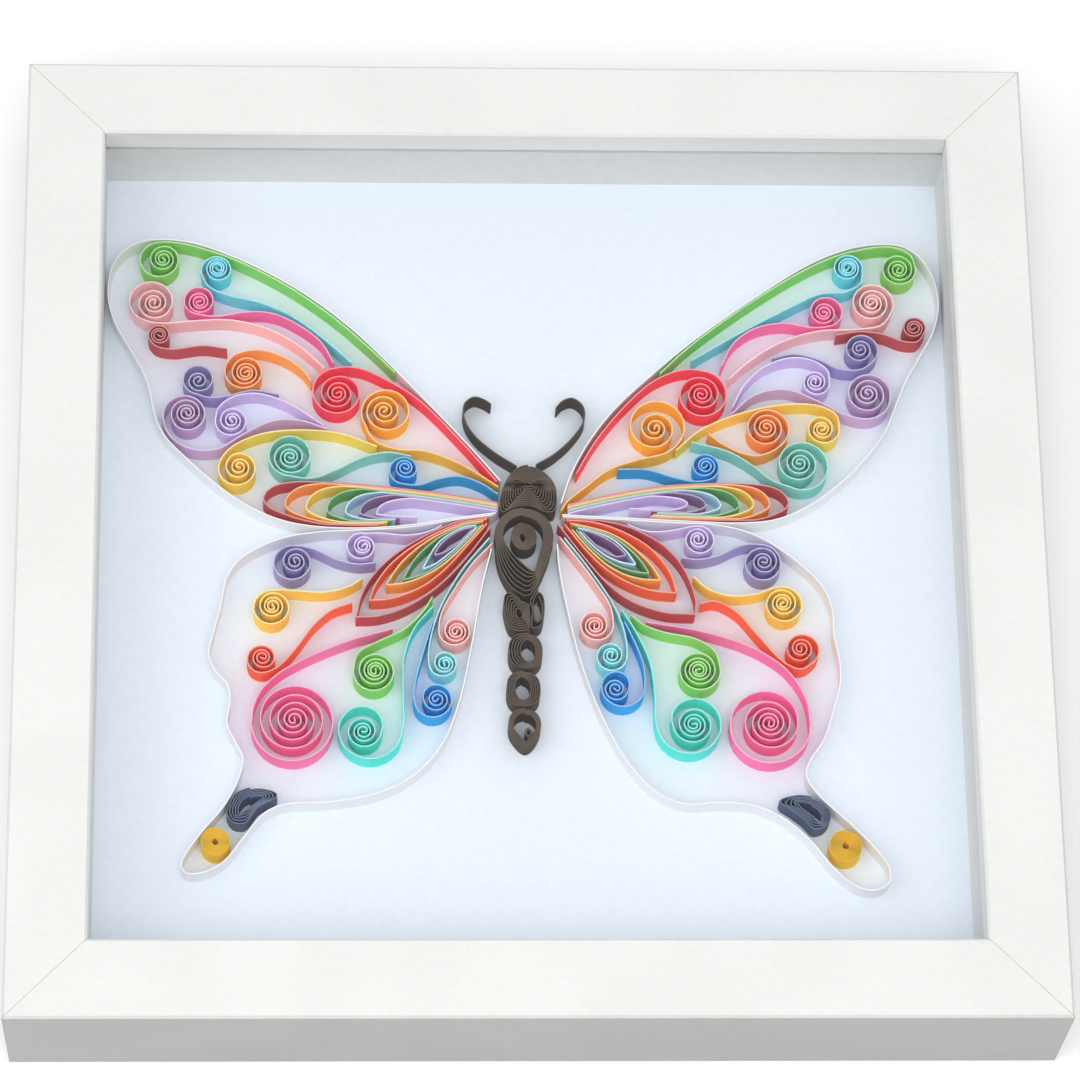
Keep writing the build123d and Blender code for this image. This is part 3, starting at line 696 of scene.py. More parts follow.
@dataclass
class WingOutlines:
    """The white strips round the four wings."""

    left_forewing: Line = (
        (-7, 20.4), (-15, 30.2), (-35, 52.8), (-44, 62), (-54, 70.3), (-64, 76.8), (-74, 81.9), (-83, 85.3),
        (-90, 86.4), (-96, 86), (-100.5, 83.8), (-103.5, 80), (-104.8, 75), (-104.8, 69.5), (-103, 63),
        (-99.5, 56.5), (-96, 50), (-94, 44), (-92.6, 37.5), (-90.2, 32.2), (-85, 26.4), (-77, 18.9),
        (-69, 13.1), (-61, 9.5), (-53, 7.9), (-42, 7.5), (-30, 8.3), (-18, 10.3), (-8.2, 11.7),
    )
    right_forewing: Line = (
        (8, 14.4), (10.5, 21.9), (14.8, 30.4), (21.4, 39.6), (31, 49.2), (42, 59), (64, 75.4), (74, 81.6),
        (83, 85.2), (90, 86.3), (95.5, 85.9), (99.5, 83.6), (102.2, 79.8), (104, 74.5), (104.4, 68.5),
        (102.6, 61.5), (98.8, 54.5), (95, 47.5), (92.3, 41), (89.5, 34.3), (84.5, 27.2), (77, 19.5),
        (69, 13.6), (61, 10.1), (52, 9.2), (40, 9.6), (24, 10.4), (15, 10.85), (8.2, 11.25),
    )
    left_hindwing: Line = (
        (-9, 11.15), (-18, 9.87), (-30, 7.8), (-42, 7), (-52, 6.4), (-60, 5), (-66.5, 2.3), (-71.5, -1.2),
        (-74.5, -6), (-75.8, -13), (-77.6, -20.5), (-78.6, -26), (-77, -30.3), (-73.9, -34), (-73.4, -39),
        (-74, -44), (-71.8, -49), (-70.1, -53), (-71.2, -58.5), (-74.6, -65.3), (-79, -70.8), (-83, -76.5),
        (-84.6, -80.3), (-83.3, -82.2), (-79.5, -82.1), (-74.5, -79.4), (-69.5, -72.9), (-65, -67.2),
        (-60, -64.8), (-50, -64.2), (-38, -62), (-29, -57.4), (-22, -49.4), (-17.6, -38), (-14.5, -23.5),
        (-11.8, -8), (-9.4, 2.2),
    )
    right_hindwing: Line = (
        (8.4, 10.75), (15, 10.4), (24, 9.95), (38, 9.15), (46, 8.75), (54, 6.8), (61, 3), (67.5, -2.4),
        (72, -7.5), (74.3, -13.5), (74.5, -20.5), (75.6, -27), (75.6, -33), (73.6, -40.5), (71, -48),
        (67.4, -53.5), (66.4, -57.4), (69.2, -62.2), (76, -69), (82, -75.4), (85.6, -81), (85.2, -84.8),
        (82, -86.5), (77.5, -85.6), (72, -80.7), (66.5, -73.6), (60, -67.9), (53, -64.9), (45, -64.2),
        (37, -64.6), (30, -61.6), (23.5, -54.4), (17.5, -43), (12.5, -29), (9.3, -15), (7.3, -3),
        (6.9, 3.4),
    )

    def pieces(self) -> list[QuilledPiece]:
        """Returns one piece for each wing."""
        wings = ("left_forewing", "right_forewing", "left_hindwing", "right_hindwing")
        return [
            QuilledPiece(f"{wing}_outline", "white_paper", (PlainStrip(getattr(self, wing)),))
            for wing in wings
        ]


@dataclass
class Antennae:
    """The two curled feelers."""

    left: Line = (
        (-2.9, 24.3), (-9, 28.5), (-13.6, 33), (-15.8, 37.4), (-15.7, 41.2), (-13.4, 43.1), (-11, 42.5),
        (-9.1, 41.2),
    )
    right: Line = (
        (2, 24.8), (6.5, 27.6), (11.2, 32.2), (14.1, 37), (13.9, 40.7), (11.3, 42.9), (8.8, 42.1),
        (7.2, 40.3),
    )

    def pieces(self) -> list[QuilledPiece]:
        """Returns the pair as one piece."""
        return [QuilledPiece("antennae", "brown_paper", (PlainStrip(self.left), PlainStrip(self.right)))]


ScrollTable = tuple[tuple[str, Scroll, Scroll], ...]

FOREWING_SCROLLS: ScrollTable = (
    ("green",
     Scroll((-92.2, 80.6, 5), (-91.3, 81, 3.5), 3.5, 92, CCW, ((-87, 85.4), (-79, 83.15), (-71, 79.8),
      (-60, 73.6), (-49, 65.4), (-40, 57.1), (-33, 49.8))),
     Scroll((94.8, 79.4, 4.3), (94.8, 79.3, 3.4), 3.3, 20, CW, ((97.9, 83.4), (93.5, 85.5), (86, 84.9),
      (77, 82.1), (64, 74.7), (42, 58.2), (33.4, 49.9)))),
    ("teal",
     Scroll((-77.9, 77.9, 3.8), (-77.6, 78.5, 2.75), 3.6, 205, CW, ((-79.7, 73.4), (-75, 71), (-67, 69),
      (-59, 65.3), (-50, 58.3), (-43.9, 52.4))),
     Scroll((81.9, 79.5, 3.7), (81.9, 79.7, 2.7), 3.6, 345, CCW, ((84.9, 75.3), (81, 72.9), (74.5, 72.2),
      (66, 68), (54, 61.3), (41.5, 53.6)))),
    ("hot_pink",
     Scroll((-82, 69.5, 3.9), (-82, 69.1, 2.9), 3.1, 270, CW, ((-77.5, 65.1), (-70, 66.3), (-63.5, 65.9),
      (-56.3, 62.2), (-51.2, 57.7), (-48.4, 52.4))),
     Scroll((75.8, 67.4, 4.2), (75.3, 67.1, 2.9), 3.1, 278, CCW, ((72, 62.9), (65, 64), (57.5, 62.4),
      (52, 58.1), (48.9, 51.9)))),
    ("salmon",
     Scroll((-94, 69.3, 5.6), (-93.4, 68.8, 4.1), 3.4, 252, CW, ((-91.5, 63.1), (-84, 63.7), (-75, 64.1),
      (-66, 62.1), (-57.5, 57.4), (-50.6, 51))),
     Scroll((87.7, 69.7, 5.3), (87.6, 69.9, 3.9), 3.6, 328, CCW, ((89.8, 63.7), (84, 62.45), (74, 61.9),
      (64.5, 58.9), (56, 53.4), (50.7, 48.5)))),
    ("dark_red",
     Scroll((-92, 59.8, 2.65), (-92, 59.8, 2), 2.6, 222, CW, ((-92.6, 56.7), (-88.5, 55.9), (-81, 56.9),
      (-75, 56.1))),
     Scroll((98, 62.9, 2.85), (98, 62.9, 2.1), 2.6, 325, CCW, ((98.6, 59.1), (94.8, 59.2), (90, 61.1),
      (84, 61.75), (78.2, 60.8)))),
    ("orange",
     Scroll((-70.8, 50, 4.7), (-70.3, 49.6, 3.5), 3.6, 140, CCW, ((-72.5, 54.7), (-67, 55.8), (-60.5, 53.7),
      (-56, 50.3), (-53.9, 47.3))),
     Scroll((60, 34.8, 5.3), (59.7, 35.2, 3.9), 3.4, 330, CCW, ((62, 29.4), (57.5, 27.5), (52.7, 28.4),
      (48.5, 30.7), (45, 33.5)))),
    ("violet",
     Scroll((-81.8, 47.7, 4.1), (-82, 47.3, 2.7), 2.5, 262, CW, ((-79, 42.7), (-74.5, 43.2), (-68.5, 44.7),
      (-62, 43.6))),
     Scroll((84.4, 56.7, 4.2), (84.1, 56.9, 2.7), 2.6, 312, CCW, ((84, 51.3), (78.5, 51.4), (73.5, 53.9),
      (67.5, 55.4), (61.8, 54.3)))),
    ("purple",
     Scroll((-85.4, 37.9, 5.3), (-84.8, 38.5, 3.9), 3.6, 195, CW, ((-89.2, 32.7), (-84.5, 29),
      (-77.5, 28.6), (-70.5, 32.9), (-63, 36.5), (-56, 36.4), (-49.8, 34.2))),
     Scroll((85.8, 44.5, 5.4), (85.5, 44.7, 4), 3.3, 350, CCW, ((89.7, 39.7), (85.5, 37.7), (79.5, 38.9),
      (72.5, 42.7), (65, 45.6), (57, 44.1), (50.9, 38.7)))),
    ("lavender",
     Scroll((-73.8, 36.3, 3.9), (-73.6, 36.5, 2.8), 2.8, 165, CCW, ((-77, 39.8), (-74, 42.6), (-68, 43.9),
      (-60.5, 41.7), (-54, 37.6), (-50.9, 35.3))),
     Scroll((72.7, 47.6, 3.3), (72.4, 47.8, 2.4), 2.7, 10, CW, ((75.7, 50.8), (72.4, 53.5), (67, 54.45),
      (60, 52.1), (54.6, 46.9), (51.4, 40.8)))),
    ("red",
     Scroll((-47.3, 44.6, 6.3), (-47.3, 44, 4.5), 3.7, 95, CCW, ((-42.5, 51), (-36, 48.2), (-27.5, 42.6),
      (-16, 30.2), (-7.9, 20.2))),
     Scroll((43.6, 44.2, 6.4), (43.7, 44.2, 4.5), 3.7, 85, CW, ((39, 50.8), (32, 47.9), (24.5, 40.9),
      (17.1, 31.5), (11.9, 22.4)))),
    ("gold",
     Scroll((-35.1, 38.8, 6.3), (-35.7, 39.3, 4.5), 3.4, 212, CW, ((-38.3, 31.4), (-33, 28.9),
      (-25.5, 28.3), (-16.5, 24.7), (-7.4, 18.7))),
     Scroll((32, 35.4, 7.2), (31.8, 34.9, 4.6), 3.2, 320, CCW, ((34.5, 28.2), (27, 26.1), (20, 23.4),
      (14.2, 18.8), (9.6, 14.9), (7.9, 12.4)))),
    ("yellow",
     Scroll((-72.1, 23.5, 4.7), (-71.7, 23.9, 3.3), 2.9, 150, CCW, ((-73.6, 29.2), (-67, 32.6), (-58, 33.9),
      (-47, 33.1), (-37.6, 29.6))),
     Scroll((74, 35, 4), (73.6, 34.8, 2.6), 2.9, 10, CW, ((77.3, 38.8), (73, 41.2), (65, 41.5), (54, 39.2),
      (43.5, 34.6), (36.9, 28.9)))),
    ("sea_green",
     Scroll((-58.8, 27.1, 5.6), (-59.1, 26.6, 4.2), 3.7, 268, CW, ((-53.5, 20.95), (-48, 23), (-41, 26.6),
      (-34.5, 28), (-28.9, 26.9))),
     Scroll((68.3, 24.9, 6.7), (67.7, 25.5, 4.6), 3.7, 240, CCW, ((60.5, 20.9), (56, 24.7), (50, 28.5),
      (40.8, 31.1)))),
    ("blue",
     Scroll((-30.9, 23.1, 3.6), (-30.6, 23.8, 2.45), 2.7, 268, CW, ((-27.3, 19.2), (-22, 20.9), (-17, 21.5),
      (-12, 19.8), (-7.6, 16.8))),
     Scroll((44, 24.3, 3.5), (44.2, 24.7, 2.4), 2.7, 300, CCW, ((41.5, 20.4), (36, 21.5), (29.5, 23.5),
      (22.3, 23.6)))),
)

HINDWING_SCROLLS: ScrollTable = (
    ("lavender",
     Scroll((-41.5, 2.6, 3.6), (-41, 2.8, 2.4), 2.8, 75, CCW, ((-36.5, 6.2), (-31, 5.65), (-27, 6.05),
      (-24.2, 6.95), (-21.6, 8.25))),
     Scroll((42, 4.6, 3.8), (41.8, 4.9, 2.7), 2.9, 95, CW, ((36.5, 7.4), (32.5, 6.8), (29, 6.95),
      (26.6, 7.7), (24.4, 8.75)))),
    ("violet",
     Scroll((-58.3, -2, 4.8), (-57.7, -1.4, 3.3), 3, 80, CCW, ((-53.5, 2), (-47.5, -0.9), (-42.5, -2.1),
      (-37.9, -1.7))),
     Scroll((57.1, -1.5, 5), (57.8, -1.1, 3.6), 3.2, 95, CW, ((52.5, 3.2), (46.5, 0.4), (41.5, -0.6),
      (37.5, -0.1)))),
    ("yellow",
     Scroll((-63.2, -13.8, 4.7), (-63.2, -13.2, 3.4), 3.5, 85, CCW, ((-58, -9.2), (-50.5, -9.6),
      (-45, -8.3), (-41.2, -5.9))),
     Scroll((62.2, -12.6, 4.8), (62.2, -12.1, 3.5), 3.6, 105, CW, ((55.5, -9.8), (49, -10.2), (43.8, -8.4),
      (40.3, -5.1)))),
    ("red_orange",
     Scroll((-65.7, -27.2, 3.6), (-65.6, -26.8, 2.5), 2.7, 270, CW, ((-62, -29.4), (-57.8, -24.9),
      (-53, -18.2), (-48.5, -14.2), (-43.7, -12.4))),
     Scroll((66.6, -24.5, 4.1), (66.2, -24.1, 2.8), 2.8, 310, CCW, ((66, -29.5), (62, -27.8), (56, -21),
      (50.5, -14.4), (45.5, -11.7), (41.9, -12.3)))),
    ("big_pink",
     Scroll((-58, -43.7, 10.1), (-57.8, -42.9, 8.2), 5.2, 170, CCW, ((-66.2, -36), (-62, -31.3), (-55, -27),
      (-44, -22.2), (-33.8, -19.2))),
     Scroll((57.6, -44, 10.3), (57.9, -43.6, 7), 5.2, 10, CW, ((66.4, -35.8), (62, -29.2), (54, -23.8),
      (42, -19.7), (28.2, -17.2)))),
    ("green",
     Scroll((-38.4, -30.5, 5), (-38.1, -30.1, 3.9), 4.2, 165, CCW, ((-42.2, -25.5), (-37.5, -22.6),
      (-31, -19.3), (-26.5, -14.8), (-24, -10.7))),
     Scroll((41.2, -30, 5.1), (41, -29.8, 4), 4.4, 15, CW, ((44.9, -24.7), (40.5, -21.7), (32.5, -19.9),
      (27.8, -18), (24.8, -15.4)))),
    ("turquoise",
     Scroll((-39.5, -45.2, 8), (-41, -45.9, 4.4), 3.9, 0, CW, ((-31.3, -36), (-31.1, -27), (-28.6, -19.2),
      (-23.9, -13.2))),
     Scroll((38.4, -43.6, 8.1), (39.3, -44, 5), 4.4, 185, CCW, ((30.1, -36), (29, -27.5), (25.6, -19.4),
      (22.5, -14)))),
    ("blue",
     Scroll((-24, -37.8, 4.6), (-23.1, -37.6, 3.2), 3, 185, CCW, ((-28.3, -33), (-26.4, -25.5),
      (-23.9, -16.8))),
     Scroll((22.3, -34.2, 5.3), (20.5, -34.8, 3.2), 3, 0, CW, ((27.5, -29), (25.9, -23.6), (23.1, -17.2)))),
    ("light_teal",
     Scroll((-21.6, -28.2, 3.4), (-21.1, -28.3, 2.4), 2.7, 180, CCW, ((-24.7, -22.5), (-22.4, -14.3),
      (-17, -4), (-9.9, 5))),
     Scroll((19.6, -26.3, 3.8), (19.7, -26, 2.5), 2.7, 0, CW, ((23.1, -20.3), (20.4, -12.6), (14.6, -3.1),
      (8.7, 5.1)))),
    ("coral",
     Scroll((-18.7, -19.7, 3.8), (-18.2, -19.8, 2.8), 3.1, 170, CCW, ((-21.8, -15), (-18, -7.7),
      (-13.5, -1.1), (-9.1, 3.6))),
     Scroll((16.2, -18, 4.1), (15.8, -18.2, 2.9), 3.2, 10, CW, ((19.7, -13.2), (16.2, -7), (11.7, -0.4),
      (7.4, 5.4)))),
)


@dataclass
class WingScrolls:
    """The scrolls of both forewings or both hindwings, a left and a right one of each colour."""

    wing: str
    colours: ScrollTable

    def pieces(self) -> list[QuilledPiece]:
        """Returns one piece for each colour."""
        return [
            QuilledPiece(
                f"{colour}_{self.wing}_scrolls", f"{colour.removeprefix('big_')}_paper", tuple(strips))
            for colour, *strips in self.colours
        ]


@dataclass
class ForewingLoops:
    """The loops nested along the lower edge of both forewings, the outermost first."""

    left_upper: Line = (
        (-7.8, 14.5), (-20, 16.6), (-32, 18.2), (-44, 19.4), (-54, 19.9), (-60, 19.9),
    )
    left_lower: Line = (
        (-50, 8.45), (-40, 8.2), (-36, 8.36), (-27, 8.36),
    )
    right_upper: Line = (
        (9.6, 13.85), (15, 15.4), (30, 18.6), (40, 19.6), (50, 19.9), (60, 19.5),
    )
    right_lower: Line = (
        (56, 10), (50, 9.95), (40, 10.08), (30, 10.47), (24, 10.83),
    )
    colours: tuple[tuple[str, tuple[Point, float, float], tuple[Point, float, float]], ...] = (
        ("dark_red", ((-65.6, 15.2), 16, -37), ((64.5, 14.6), 9, 30)),
        ("orange", ((-60.2, 13.8), 12, -36), ((59.8, 14.3), 8, 30)),
        ("yellow", ((-55, 13), 9, -35), ((55.8, 14.2), 8, 30.6)),
        ("green", ((-49.9, 12.4), 7, -34), ((52.2, 14), 7, 31.2)),
        ("light_blue", ((-45.3, 12), 6, -33), ((47.6, 13.9), 6, 31.8)),
        ("plum", ((-41.8, 11.7), 5, -32), ((43.9, 14), 5, 30.4)),
        ("lavender", ((-37.7, 11.5), 5, -27.6), ((39.4, 14.4), 5, 25)),
    )

    def pieces(self) -> list[QuilledPiece]:
        """Returns one piece for each colour, a loop on each side."""
        pieces = []
        for number, (colour, left, right) in enumerate(self.colours):
            loops = (
                NestedLoop(Side.LEFT, number, *left, self.left_upper, self.left_lower),
                NestedLoop(Side.RIGHT, number, *right, self.right_upper, self.right_lower),
            )
            pieces.append(QuilledPiece(
                f"{colour}_forewing_loops", f"{colour}_paper", loops, tone=DEEPER_TONES.get(colour)))
        return pieces


@dataclass
class PetalLoops:
    """The folded petals nested on both hindwings, the outermost first."""

    colours: tuple[tuple[str, FoldedPetal, FoldedPetal], ...] = (
        ("dark_red",
         FoldedPetal(((-9.9, 10.5), (-16, 9.75), (-22, 7.45), (-29.5, 3.2), (-35, -1.1), (-39.3, -6.1),
          (-41.5, -10.6), (-42.8, -16.2), (-37, -15.8), (-30, -13.2), (-23.5, -8.7), (-17, -2.1),
          (-9.6, 7.9))),
         FoldedPetal(((9, 10.25), (15, 9.95), (20, 9.3), (25, 7.85), (32, 4), (36.5, -0.6), (39.2, -5.7),
          (40.8, -12), (40.4, -15.2), (33, -14.7), (25, -11.8), (19, -7), (14, -0.8), (7.1, 8.8)))),
        ("orange_red",
         FoldedPetal(((-10.4, 10.06), (-16, 9.25), (-22, 6.75), (-27, 3.8), (-31, 0.9), (-35, -3),
          (-38, -7.6), (-39.5, -11.7), (-35, -11.4), (-30, -9.8), (-25, -7), (-20.5, -3), (-16, 2.2),
          (-10.4, 8.9))),
         FoldedPetal(((9.2, 9.8), (15, 9.45), (20, 8.1), (25, 5.75), (29, 3.1), (32.3, -0.4), (34.8, -4.6),
          (36.1, -9.5), (31, -9.1), (26.5, -7.8), (22, -5.5), (18, -2.5), (14, 1.8), (8.8, 8.7)))),
        ("amber",
         FoldedPetal(((-11.3, 9.52), (-16, 8.75), (-22, 6.05), (-26, 3.5), (-29, 1), (-32, -2.15),
          (-35.4, -7.6), (-31, -7.1), (-26.5, -5.4), (-22, -2.7), (-16, 3.05), (-11.4, 8.6))),
         FoldedPetal(((10.2, 8.95), (15, 7.95), (20, 6.3), (24, 3.9), (27, 1.2), (30, -2.2), (32.3, -6.1),
          (28, -5.9), (23.5, -4.7), (19.5, -2.4), (15.5, 1.3), (10.6, 7.3)))),
        ("green",
         FoldedPetal(((-12.2, 8.98), (-16, 8.3), (-19, 7), (-22, 5.25), (-25, 2.85), (-28.5, -1),
          (-31.3, -6.3), (-27.5, -5.2), (-24, -3.4), (-20, -0.2), (-16, 3.85), (-12.2, 8.3))),
         FoldedPetal(((11.2, 8.35), (15, 7.5), (20, 5.65), (22.5, 4), (25, 1.8), (27.6, -1.2), (29.4, -4.4),
          (25.5, -3.8), (21.5, -2.4), (17.5, 0.3), (14, 3.9), (11.6, 7.2)))),
        ("light_blue",
         FoldedPetal(((-13.1, 8.36), (-16, 7.85), (-19, 6.4), (-22, 4.1), (-24, 1.4), (-26.5, -3.5),
          (-23.2, -1.9), (-19.5, 1.1), (-16, 4.55), (-13, 7.95))),
         FoldedPetal(((12, 7.75), (15, 7.08), (20, 5.1), (22.5, 3.1), (24.6, 0.6), (26.3, -2.1),
          (22.5, -1.35), (18.5, 0.6), (14.5, 4.3), (12.5, 6.8)))),
        ("plum",
         FoldedPetal(((-14, 7.75), (-16, 7.4), (-19, 5.85), (-22, 3.1), (-23.6, 0.3), (-21, 1.15),
          (-18, 3.2), (-14.2, 7.15))),
         FoldedPetal(((12.8, 7.2), (15, 6.66), (18.5, 5.15), (21.5, 3.1), (23.9, 0.5), (21.5, 0.1),
          (18, 1.8), (13.2, 6.55)))),
    )

    def pieces(self) -> list[QuilledPiece]:
        """Returns one piece for each colour, a petal on each side."""
        return [
            QuilledPiece(
                f"{colour}_petal_loops", f"{colour}_paper", tuple(petals), tone=DEEPER_TONES.get(colour))
            for colour, *petals in self.colours
        ]


def barrel(x: float, y: float, half_width: float, half_height: float, squareness: float = 1.0) -> Line:
    """Draws a ring between an oval and a rectangle.

    Args:
        x: The ring's centre.
        y: The ring's centre.
        half_width: Its half width.
        half_height: Its half height.
        squareness: 1 for an oval, less for squarer corners.

    Returns:
        The ring's points.
    """
    points = []
    for angle in np.linspace(0, 2 * pi, 24, endpoint=False):
        across = np.sign(cos(angle)) * abs(cos(angle)) ** squareness
        along = np.sign(sin(angle)) * abs(sin(angle)) ** squareness
        points.append((x + half_width * across, y + half_height * along))
    return tuple(points)


def teardrop(x: float, y: float, radius: float, tip: Point) -> Line:
    """Draws a round drop with one point.

    Args:
        x: The round end's centre.
        y: The round end's centre.
        radius: The round end's radius.
        tip: The drop's point.

    Returns:
        The drop's points, with a few along its straight sides.
    """
    toward = atan2(tip[1] - y, tip[0] - x)
    spread = acos(radius / hypot(tip[0] - x, tip[1] - y))
    angles = np.linspace(toward + spread, toward + 2 * pi - spread, 20)
    bow = [(x + radius * cos(a), y + radius * sin(a)) for a in angles]
    shares = (0.35, 0.7, 0.92)

    def side(start: Point) -> Route:
        """Returns a few points along the straight side from a bow's end to the tip."""
        return [(start[0] + (tip[0] - start[0]) * s, start[1] + (tip[1] - start[1]) * s) for s in shares]

    return (*bow, *side(bow[-1]), tip, *side(bow[0])[::-1])


def arc(x: float, y: float, radius: float, start: float, end: float) -> Line:
    """Draws an arc between two angles in degrees."""
    angles = np.linspace(radians(start), radians(end), 16)
    return tuple((x + radius * cos(a), y + radius * sin(a)) for a in angles)


@dataclass
class TailCoils:
    """The half-moon coils and the tight round coils in the tails of the hindwings."""

    drop_left: Line = (
        (-60.8, -62.2), (-66, -65.6), (-69.7, -70.1), (-72.5, -69.7), (-74.2, -67), (-73.2, -64.3),
        (-72, -62), (-69, -60.6), (-66, -60.3), (-63, -60.9),
    )
    drop_right: Line = (
        (59.2, -63.7), (62, -65.9), (65, -68.4), (68, -71.5), (70.2, -70.8), (72.3, -68.4), (72, -66),
        (70.3, -64.2), (67.5, -62.7), (64.5, -62.2), (61.5, -62.7),
    )
    slit_left: Line = (
        (-70.6, -66.9), (-68.2, -65.2), (-65.2, -63), (-67.4, -62.9), (-70, -64.4),
    )
    slit_right: Line = (
        (64.2, -64.4), (67, -66.7), (69.2, -69), (69.4, -66.9), (67, -65),
    )
    rounds: tuple[Ring, ...] = ((-76.4, -74.3, 3.75), (75.4, -75.3, 4.2))
    eye: float = 0.65
    thickness: float = 0.2

    def pieces(self) -> list[QuilledPiece]:
        """Returns the half-moons as one piece and the tight coils as another."""
        drops = (WoundBand(self.drop_left, self.slit_left, 5), WoundBand(self.drop_right, self.slit_right, 5))
        rounds = tuple(
            WoundBand(barrel(x, y, r, r), barrel(x, y, self.eye, self.eye), 8) for x, y, r in self.rounds)
        return [
            QuilledPiece("slate_drops", "slate_paper", drops, self.thickness),
            QuilledPiece("tight_yellow_coils", "bright_yellow_paper", rounds, self.thickness),
        ]


@dataclass
class ButterflyBody:
    """The dark coils of the body: a capped head, the thorax with its eye coil, and the abdomen."""

    thorax_x: float = -1.2
    thorax_y: float = 5.6
    thorax_radius: float = 7.5
    seam: float = 0.35
    head_side: Line = (
        (6.4, 11.6), (7.2, 13.4), (7.4, 16), (6.6, 19.5), (4.6, 22.6), (1.8, 24.4), (0, 24.7), (-2, 24.3),
        (-4.4, 22.4), (-6.2, 19), (-7.2, 15.8), (-7.5, 13.4), (-7.1, 11.7),
    )
    thorax_tail: Line = (
        (-8.4, 0.8), (-7.7, -3), (-6.3, -6.5), (-4.6, -9), (-2.4, -10.6), (-0.4, -11.3), (1.6, -7.9),
        (3.6, -3.6), (4.9, -0.4),
    )
    brow: Line = (
        (-4, 19), (-2.5, 20), (-0.9, 19.8), (0, 19.55), (0.9, 19.8), (2.5, 20), (4, 19), (2.5, 18.6),
        (0.9, 19), (0, 19.2), (-0.9, 19), (-2.5, 18.6),
    )
    waist_coil: Line = (
        (-6.1, -9.8), (-5, -9.5), (-2.6, -11.1), (-0.6, -12), (0.05, -14), (-0.05, -17), (-0.6, -19.75),
        (-4.9, -19.4), (-6.2, -16.5), (-6.7, -13),
    )
    waist_loop: Line = (
        (-0.2, -11.9), (1.55, -8.8), (2.7, -8.4), (3.6, -9.6), (3.9, -12), (3.6, -15.5), (2.3, -19.2),
        (-0.1, -19.8), (0.1, -17), (0.3, -14),
    )
    last_coil: Line = (
        (2.45, -44), (2, -41.9), (0.6, -40.4), (-1.7, -39.95), (-4, -40.4), (-5.4, -41.9), (-5.85, -44),
        (-5.5, -46.1), (-4.4, -48), (-3, -49.6), (-1.65, -50.25), (-0.3, -49.7), (1, -48.2), (2, -46.2),
    )
    thickness: float = 0.27

    def pieces(self) -> list[QuilledPiece]:
        """Returns one piece for each coil of the body."""
        cap = arc(self.thorax_x, self.thorax_y, self.thorax_radius + self.seam, 130, 52) + self.head_side
        chest = arc(self.thorax_x, self.thorax_y, self.thorax_radius, -25, 195) + self.thorax_tail
        coils: dict[str, tuple[WoundBand, ...]] = {
            "head": (WoundBand(cap, self.brow, 11),),
            "thorax": (
                WoundBand(chest, teardrop(-1.4, 5.9, 4.8, (1, -4.2)), 7),
                WoundBand(barrel(-1.2, 5.4, 3.4, 3.8), barrel(-1.6, 5, 0.5, 0.9), 7),
            ),
            "abdomen_coil_1": (
                WoundBand(self.waist_coil, barrel(-2.6, -15.2, 0.45, 0.8), 6),
                WoundBand(self.waist_loop, barrel(1.95, -13.6, 0.75, 2.9), 2),
            ),
            "abdomen_coil_2": (
                WoundBand(barrel(-1.3, -25, 4.4, 4.75, 0.8), barrel(-0.5, -25, 1.5, 2.6), 5),
            ),
            "abdomen_coil_3": (
                WoundBand(barrel(-1.8, -34.9, 4.4, 4.75, 0.8), barrel(-2, -34.8, 1.65, 2.75), 5),
            ),
            "abdomen_coil_4": (
                WoundBand(self.last_coil, teardrop(-1.7, -44.2, 2.6, (-1.6, -48.6)), 4),
                WoundBand(barrel(-0.8, -46.3, 1.15, 1.35), barrel(-0.8, -46.3, 0.3, 0.45), 2),
            ),
        }
        return [QuilledPiece(node, "brown_paper", strips, self.thickness) for node, strips in coils.items()]


@dataclass
class BoxFrame:
    """The box frame's own pieces, which keep their modelled shapes and get their finishes."""

    wrap: FoilWrap = field(default_factory=FoilWrap)
    pane: ClearPane = field(default_factory=ClearPane)
    spacer: PlainSheet = PlainSheet("white_spacer_board", "E4E6E5", "DEE0DF")
    card: PlainSheet = PlainSheet("white_card_stock", "ECF4FD", "E7F0FA", 700.0)
    board: PlainSheet = PlainSheet("bare_fibreboard", "94704E", "7C5B3E", 800.0, 0.00006)
    steel: StampedSteel = field(default_factory=StampedSteel)

    def dress(self, nodes: dict[str, bpy.types.Object]) -> None:
        """Gives each piece of the frame its finish.

        Args:
            nodes: The frame's objects by name.
        """
        rails = [f"frame_rail_{side}" for side in ("top", "left", "bottom", "right")]
        finishes = (
            (self.wrap, rails),
            (self.pane, ["front_glazing"]),
            (self.spacer, ["inner_spacer"]),
            (self.card, ["backing_card"]),
            (self.board, ["back_board"]),
            (self.steel, ["retaining_points"]),
        )
        for finish, names in finishes:
            material = finish.material()
            for name in names:
                nodes[name].data.materials.clear()
                nodes[name].data.materials.append(material)
                LOG.info("%s: %s", name, finish.name)


@dataclass(frozen=True)
class Lamp:
    """A round soft lamp: its place and width in metres, and its power in watts."""

    name: str
    place: tuple[float, float, float]
    size: float
    power: float


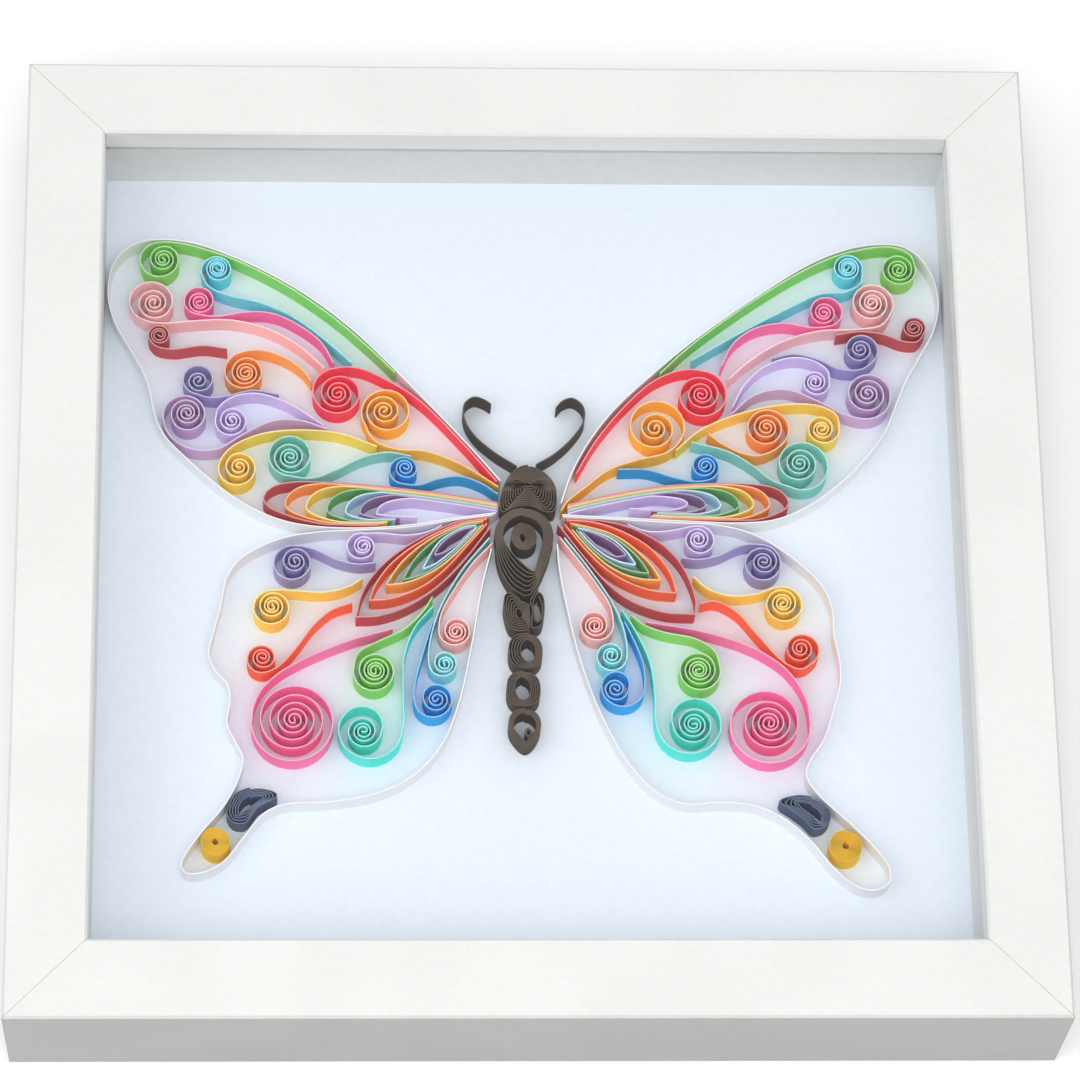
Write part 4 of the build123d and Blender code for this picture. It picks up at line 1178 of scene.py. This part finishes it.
@dataclass
class Studio:
    """The floor, the soft light and the camera."""

    lens: float = 161.92
    sensor: float = 36.0
    eye: tuple[float, float, float] = (-0.05325, -0.46045, 1.11728)
    right: tuple[float, float, float] = (0.9989073, -0.01488384, 0.04430219)
    down: tuple[float, float, float] = (0.00347794, -0.92163095, -0.38805193)
    forward: tuple[float, float, float] = (0.04660597, 0.38778199, -0.92057211)
    sky: float = 0.78
    floor_size: float = 6.0
    floor_glow: float = 0.1
    aim: tuple[float, float, float] = (0, 0, 0.02)
    lamps: tuple[Lamp, ...] = (
        Lamp("window", (-1.0, -0.5, 1.25), 1.3, 4.85),
        Lamp("front", (0.05, -0.5, 1.35), 0.9, 5.45),
    )

    def floor(self) -> None:
        """Lays the pale floor."""
        mesh_data = bmesh.new()
        bmesh.ops.create_grid(mesh_data, x_segments=1, y_segments=1, size=self.floor_size / 2)
        mesh = bpy.data.meshes.new("studio_floor")
        mesh_data.to_mesh(mesh)
        mesh_data.free()
        sheet = bpy.data.objects.new("studio_floor", mesh)
        bpy.context.collection.objects.link(sheet)
        nodes = ShaderNodes("studio_floor")
        seen = nodes.seen()
        mesh.materials.append(nodes.surface(
            Base_Color=nodes.blend(seen, linear("7C7C7C"), linear("FCFCFC")),
            Emission_Color=nodes.blend(seen, (0, 0, 0, 1), (1, 1, 1, 1)),
            Emission_Strength=self.floor_glow,
            Roughness=0.9,
            Specular_IOR_Level=0.1,
        ))

    def light(self) -> None:
        """Sets a sky that is brighter overhead and the soft lamps on the viewer's side."""
        world = bpy.data.worlds.new("studio_sky")
        bpy.context.scene.world = world
        nodes = ShaderNodes("studio_sky", world)
        direction = nodes.add("ShaderNodeTexCoord").outputs["Generated"]
        rise = Value(nodes, nodes.add("ShaderNodeSeparateXYZ", None, {0: direction}).outputs[2])
        dome = nodes.blend(rise.ramp(0.08, 0.55), (0.02, 0.02, 0.02, 1), (self.sky, self.sky, self.sky, 1))
        colour = nodes.blend(nodes.seen(), dome, (1, 1, 1, 1))
        background = nodes.add("ShaderNodeBackground", None, {"Color": colour})
        nodes.add("ShaderNodeOutputWorld", None, {"Surface": background.outputs[0]})
        for lamp in self.lamps:
            light = bpy.data.lights.new(lamp.name, "AREA")
            light.shape = "DISK"
            light.size = lamp.size
            light.energy = lamp.power
            holder = bpy.data.objects.new(lamp.name, light)
            turn = (Vector(self.aim) - Vector(lamp.place)).to_track_quat("-Z", "Y")
            holder.matrix_world = Matrix.Translation(lamp.place) @ turn.to_matrix().to_4x4()
            bpy.context.collection.objects.link(holder)

    def camera(self) -> None:
        """Places the camera where the photograph was taken from."""
        lens = bpy.data.cameras.new("studio_camera")
        lens.sensor_width = self.sensor
        lens.lens = self.lens
        lens.clip_start = 0.05
        holder = bpy.data.objects.new("studio_camera", lens)
        turn = Matrix((self.right, -Vector(self.down), -Vector(self.forward))).transposed()
        holder.matrix_world = Matrix.Translation(self.eye) @ turn.to_4x4()
        bpy.context.collection.objects.link(holder)
        bpy.context.scene.camera = holder

    def set_up(self) -> None:
        """Sets up the whole studio."""
        bpy.context.scene.view_settings.view_transform = "Standard"
        self.floor()
        self.light()
        self.camera()


def main() -> None:
    """Builds and dresses the butterfly, its frame and the studio."""
    logging.basicConfig(level=logging.INFO, format="%(message)s")
    materials = {name: paper.material() for name, paper in PAPERS.items()}
    groups = (
        WingOutlines(), Antennae(), WingScrolls("forewing", FOREWING_SCROLLS),
        WingScrolls("hindwing", HINDWING_SCROLLS), ForewingLoops(), PetalLoops(), TailCoils(),
        ButterflyBody(),
    )
    for group in groups:
        for quilled in group.pieces():
            quilled.dress(quilled.build(), materials)
    BoxFrame().dress(frame["nodes"])
    Studio().set_up()


if __name__ == "__main__":
    main()
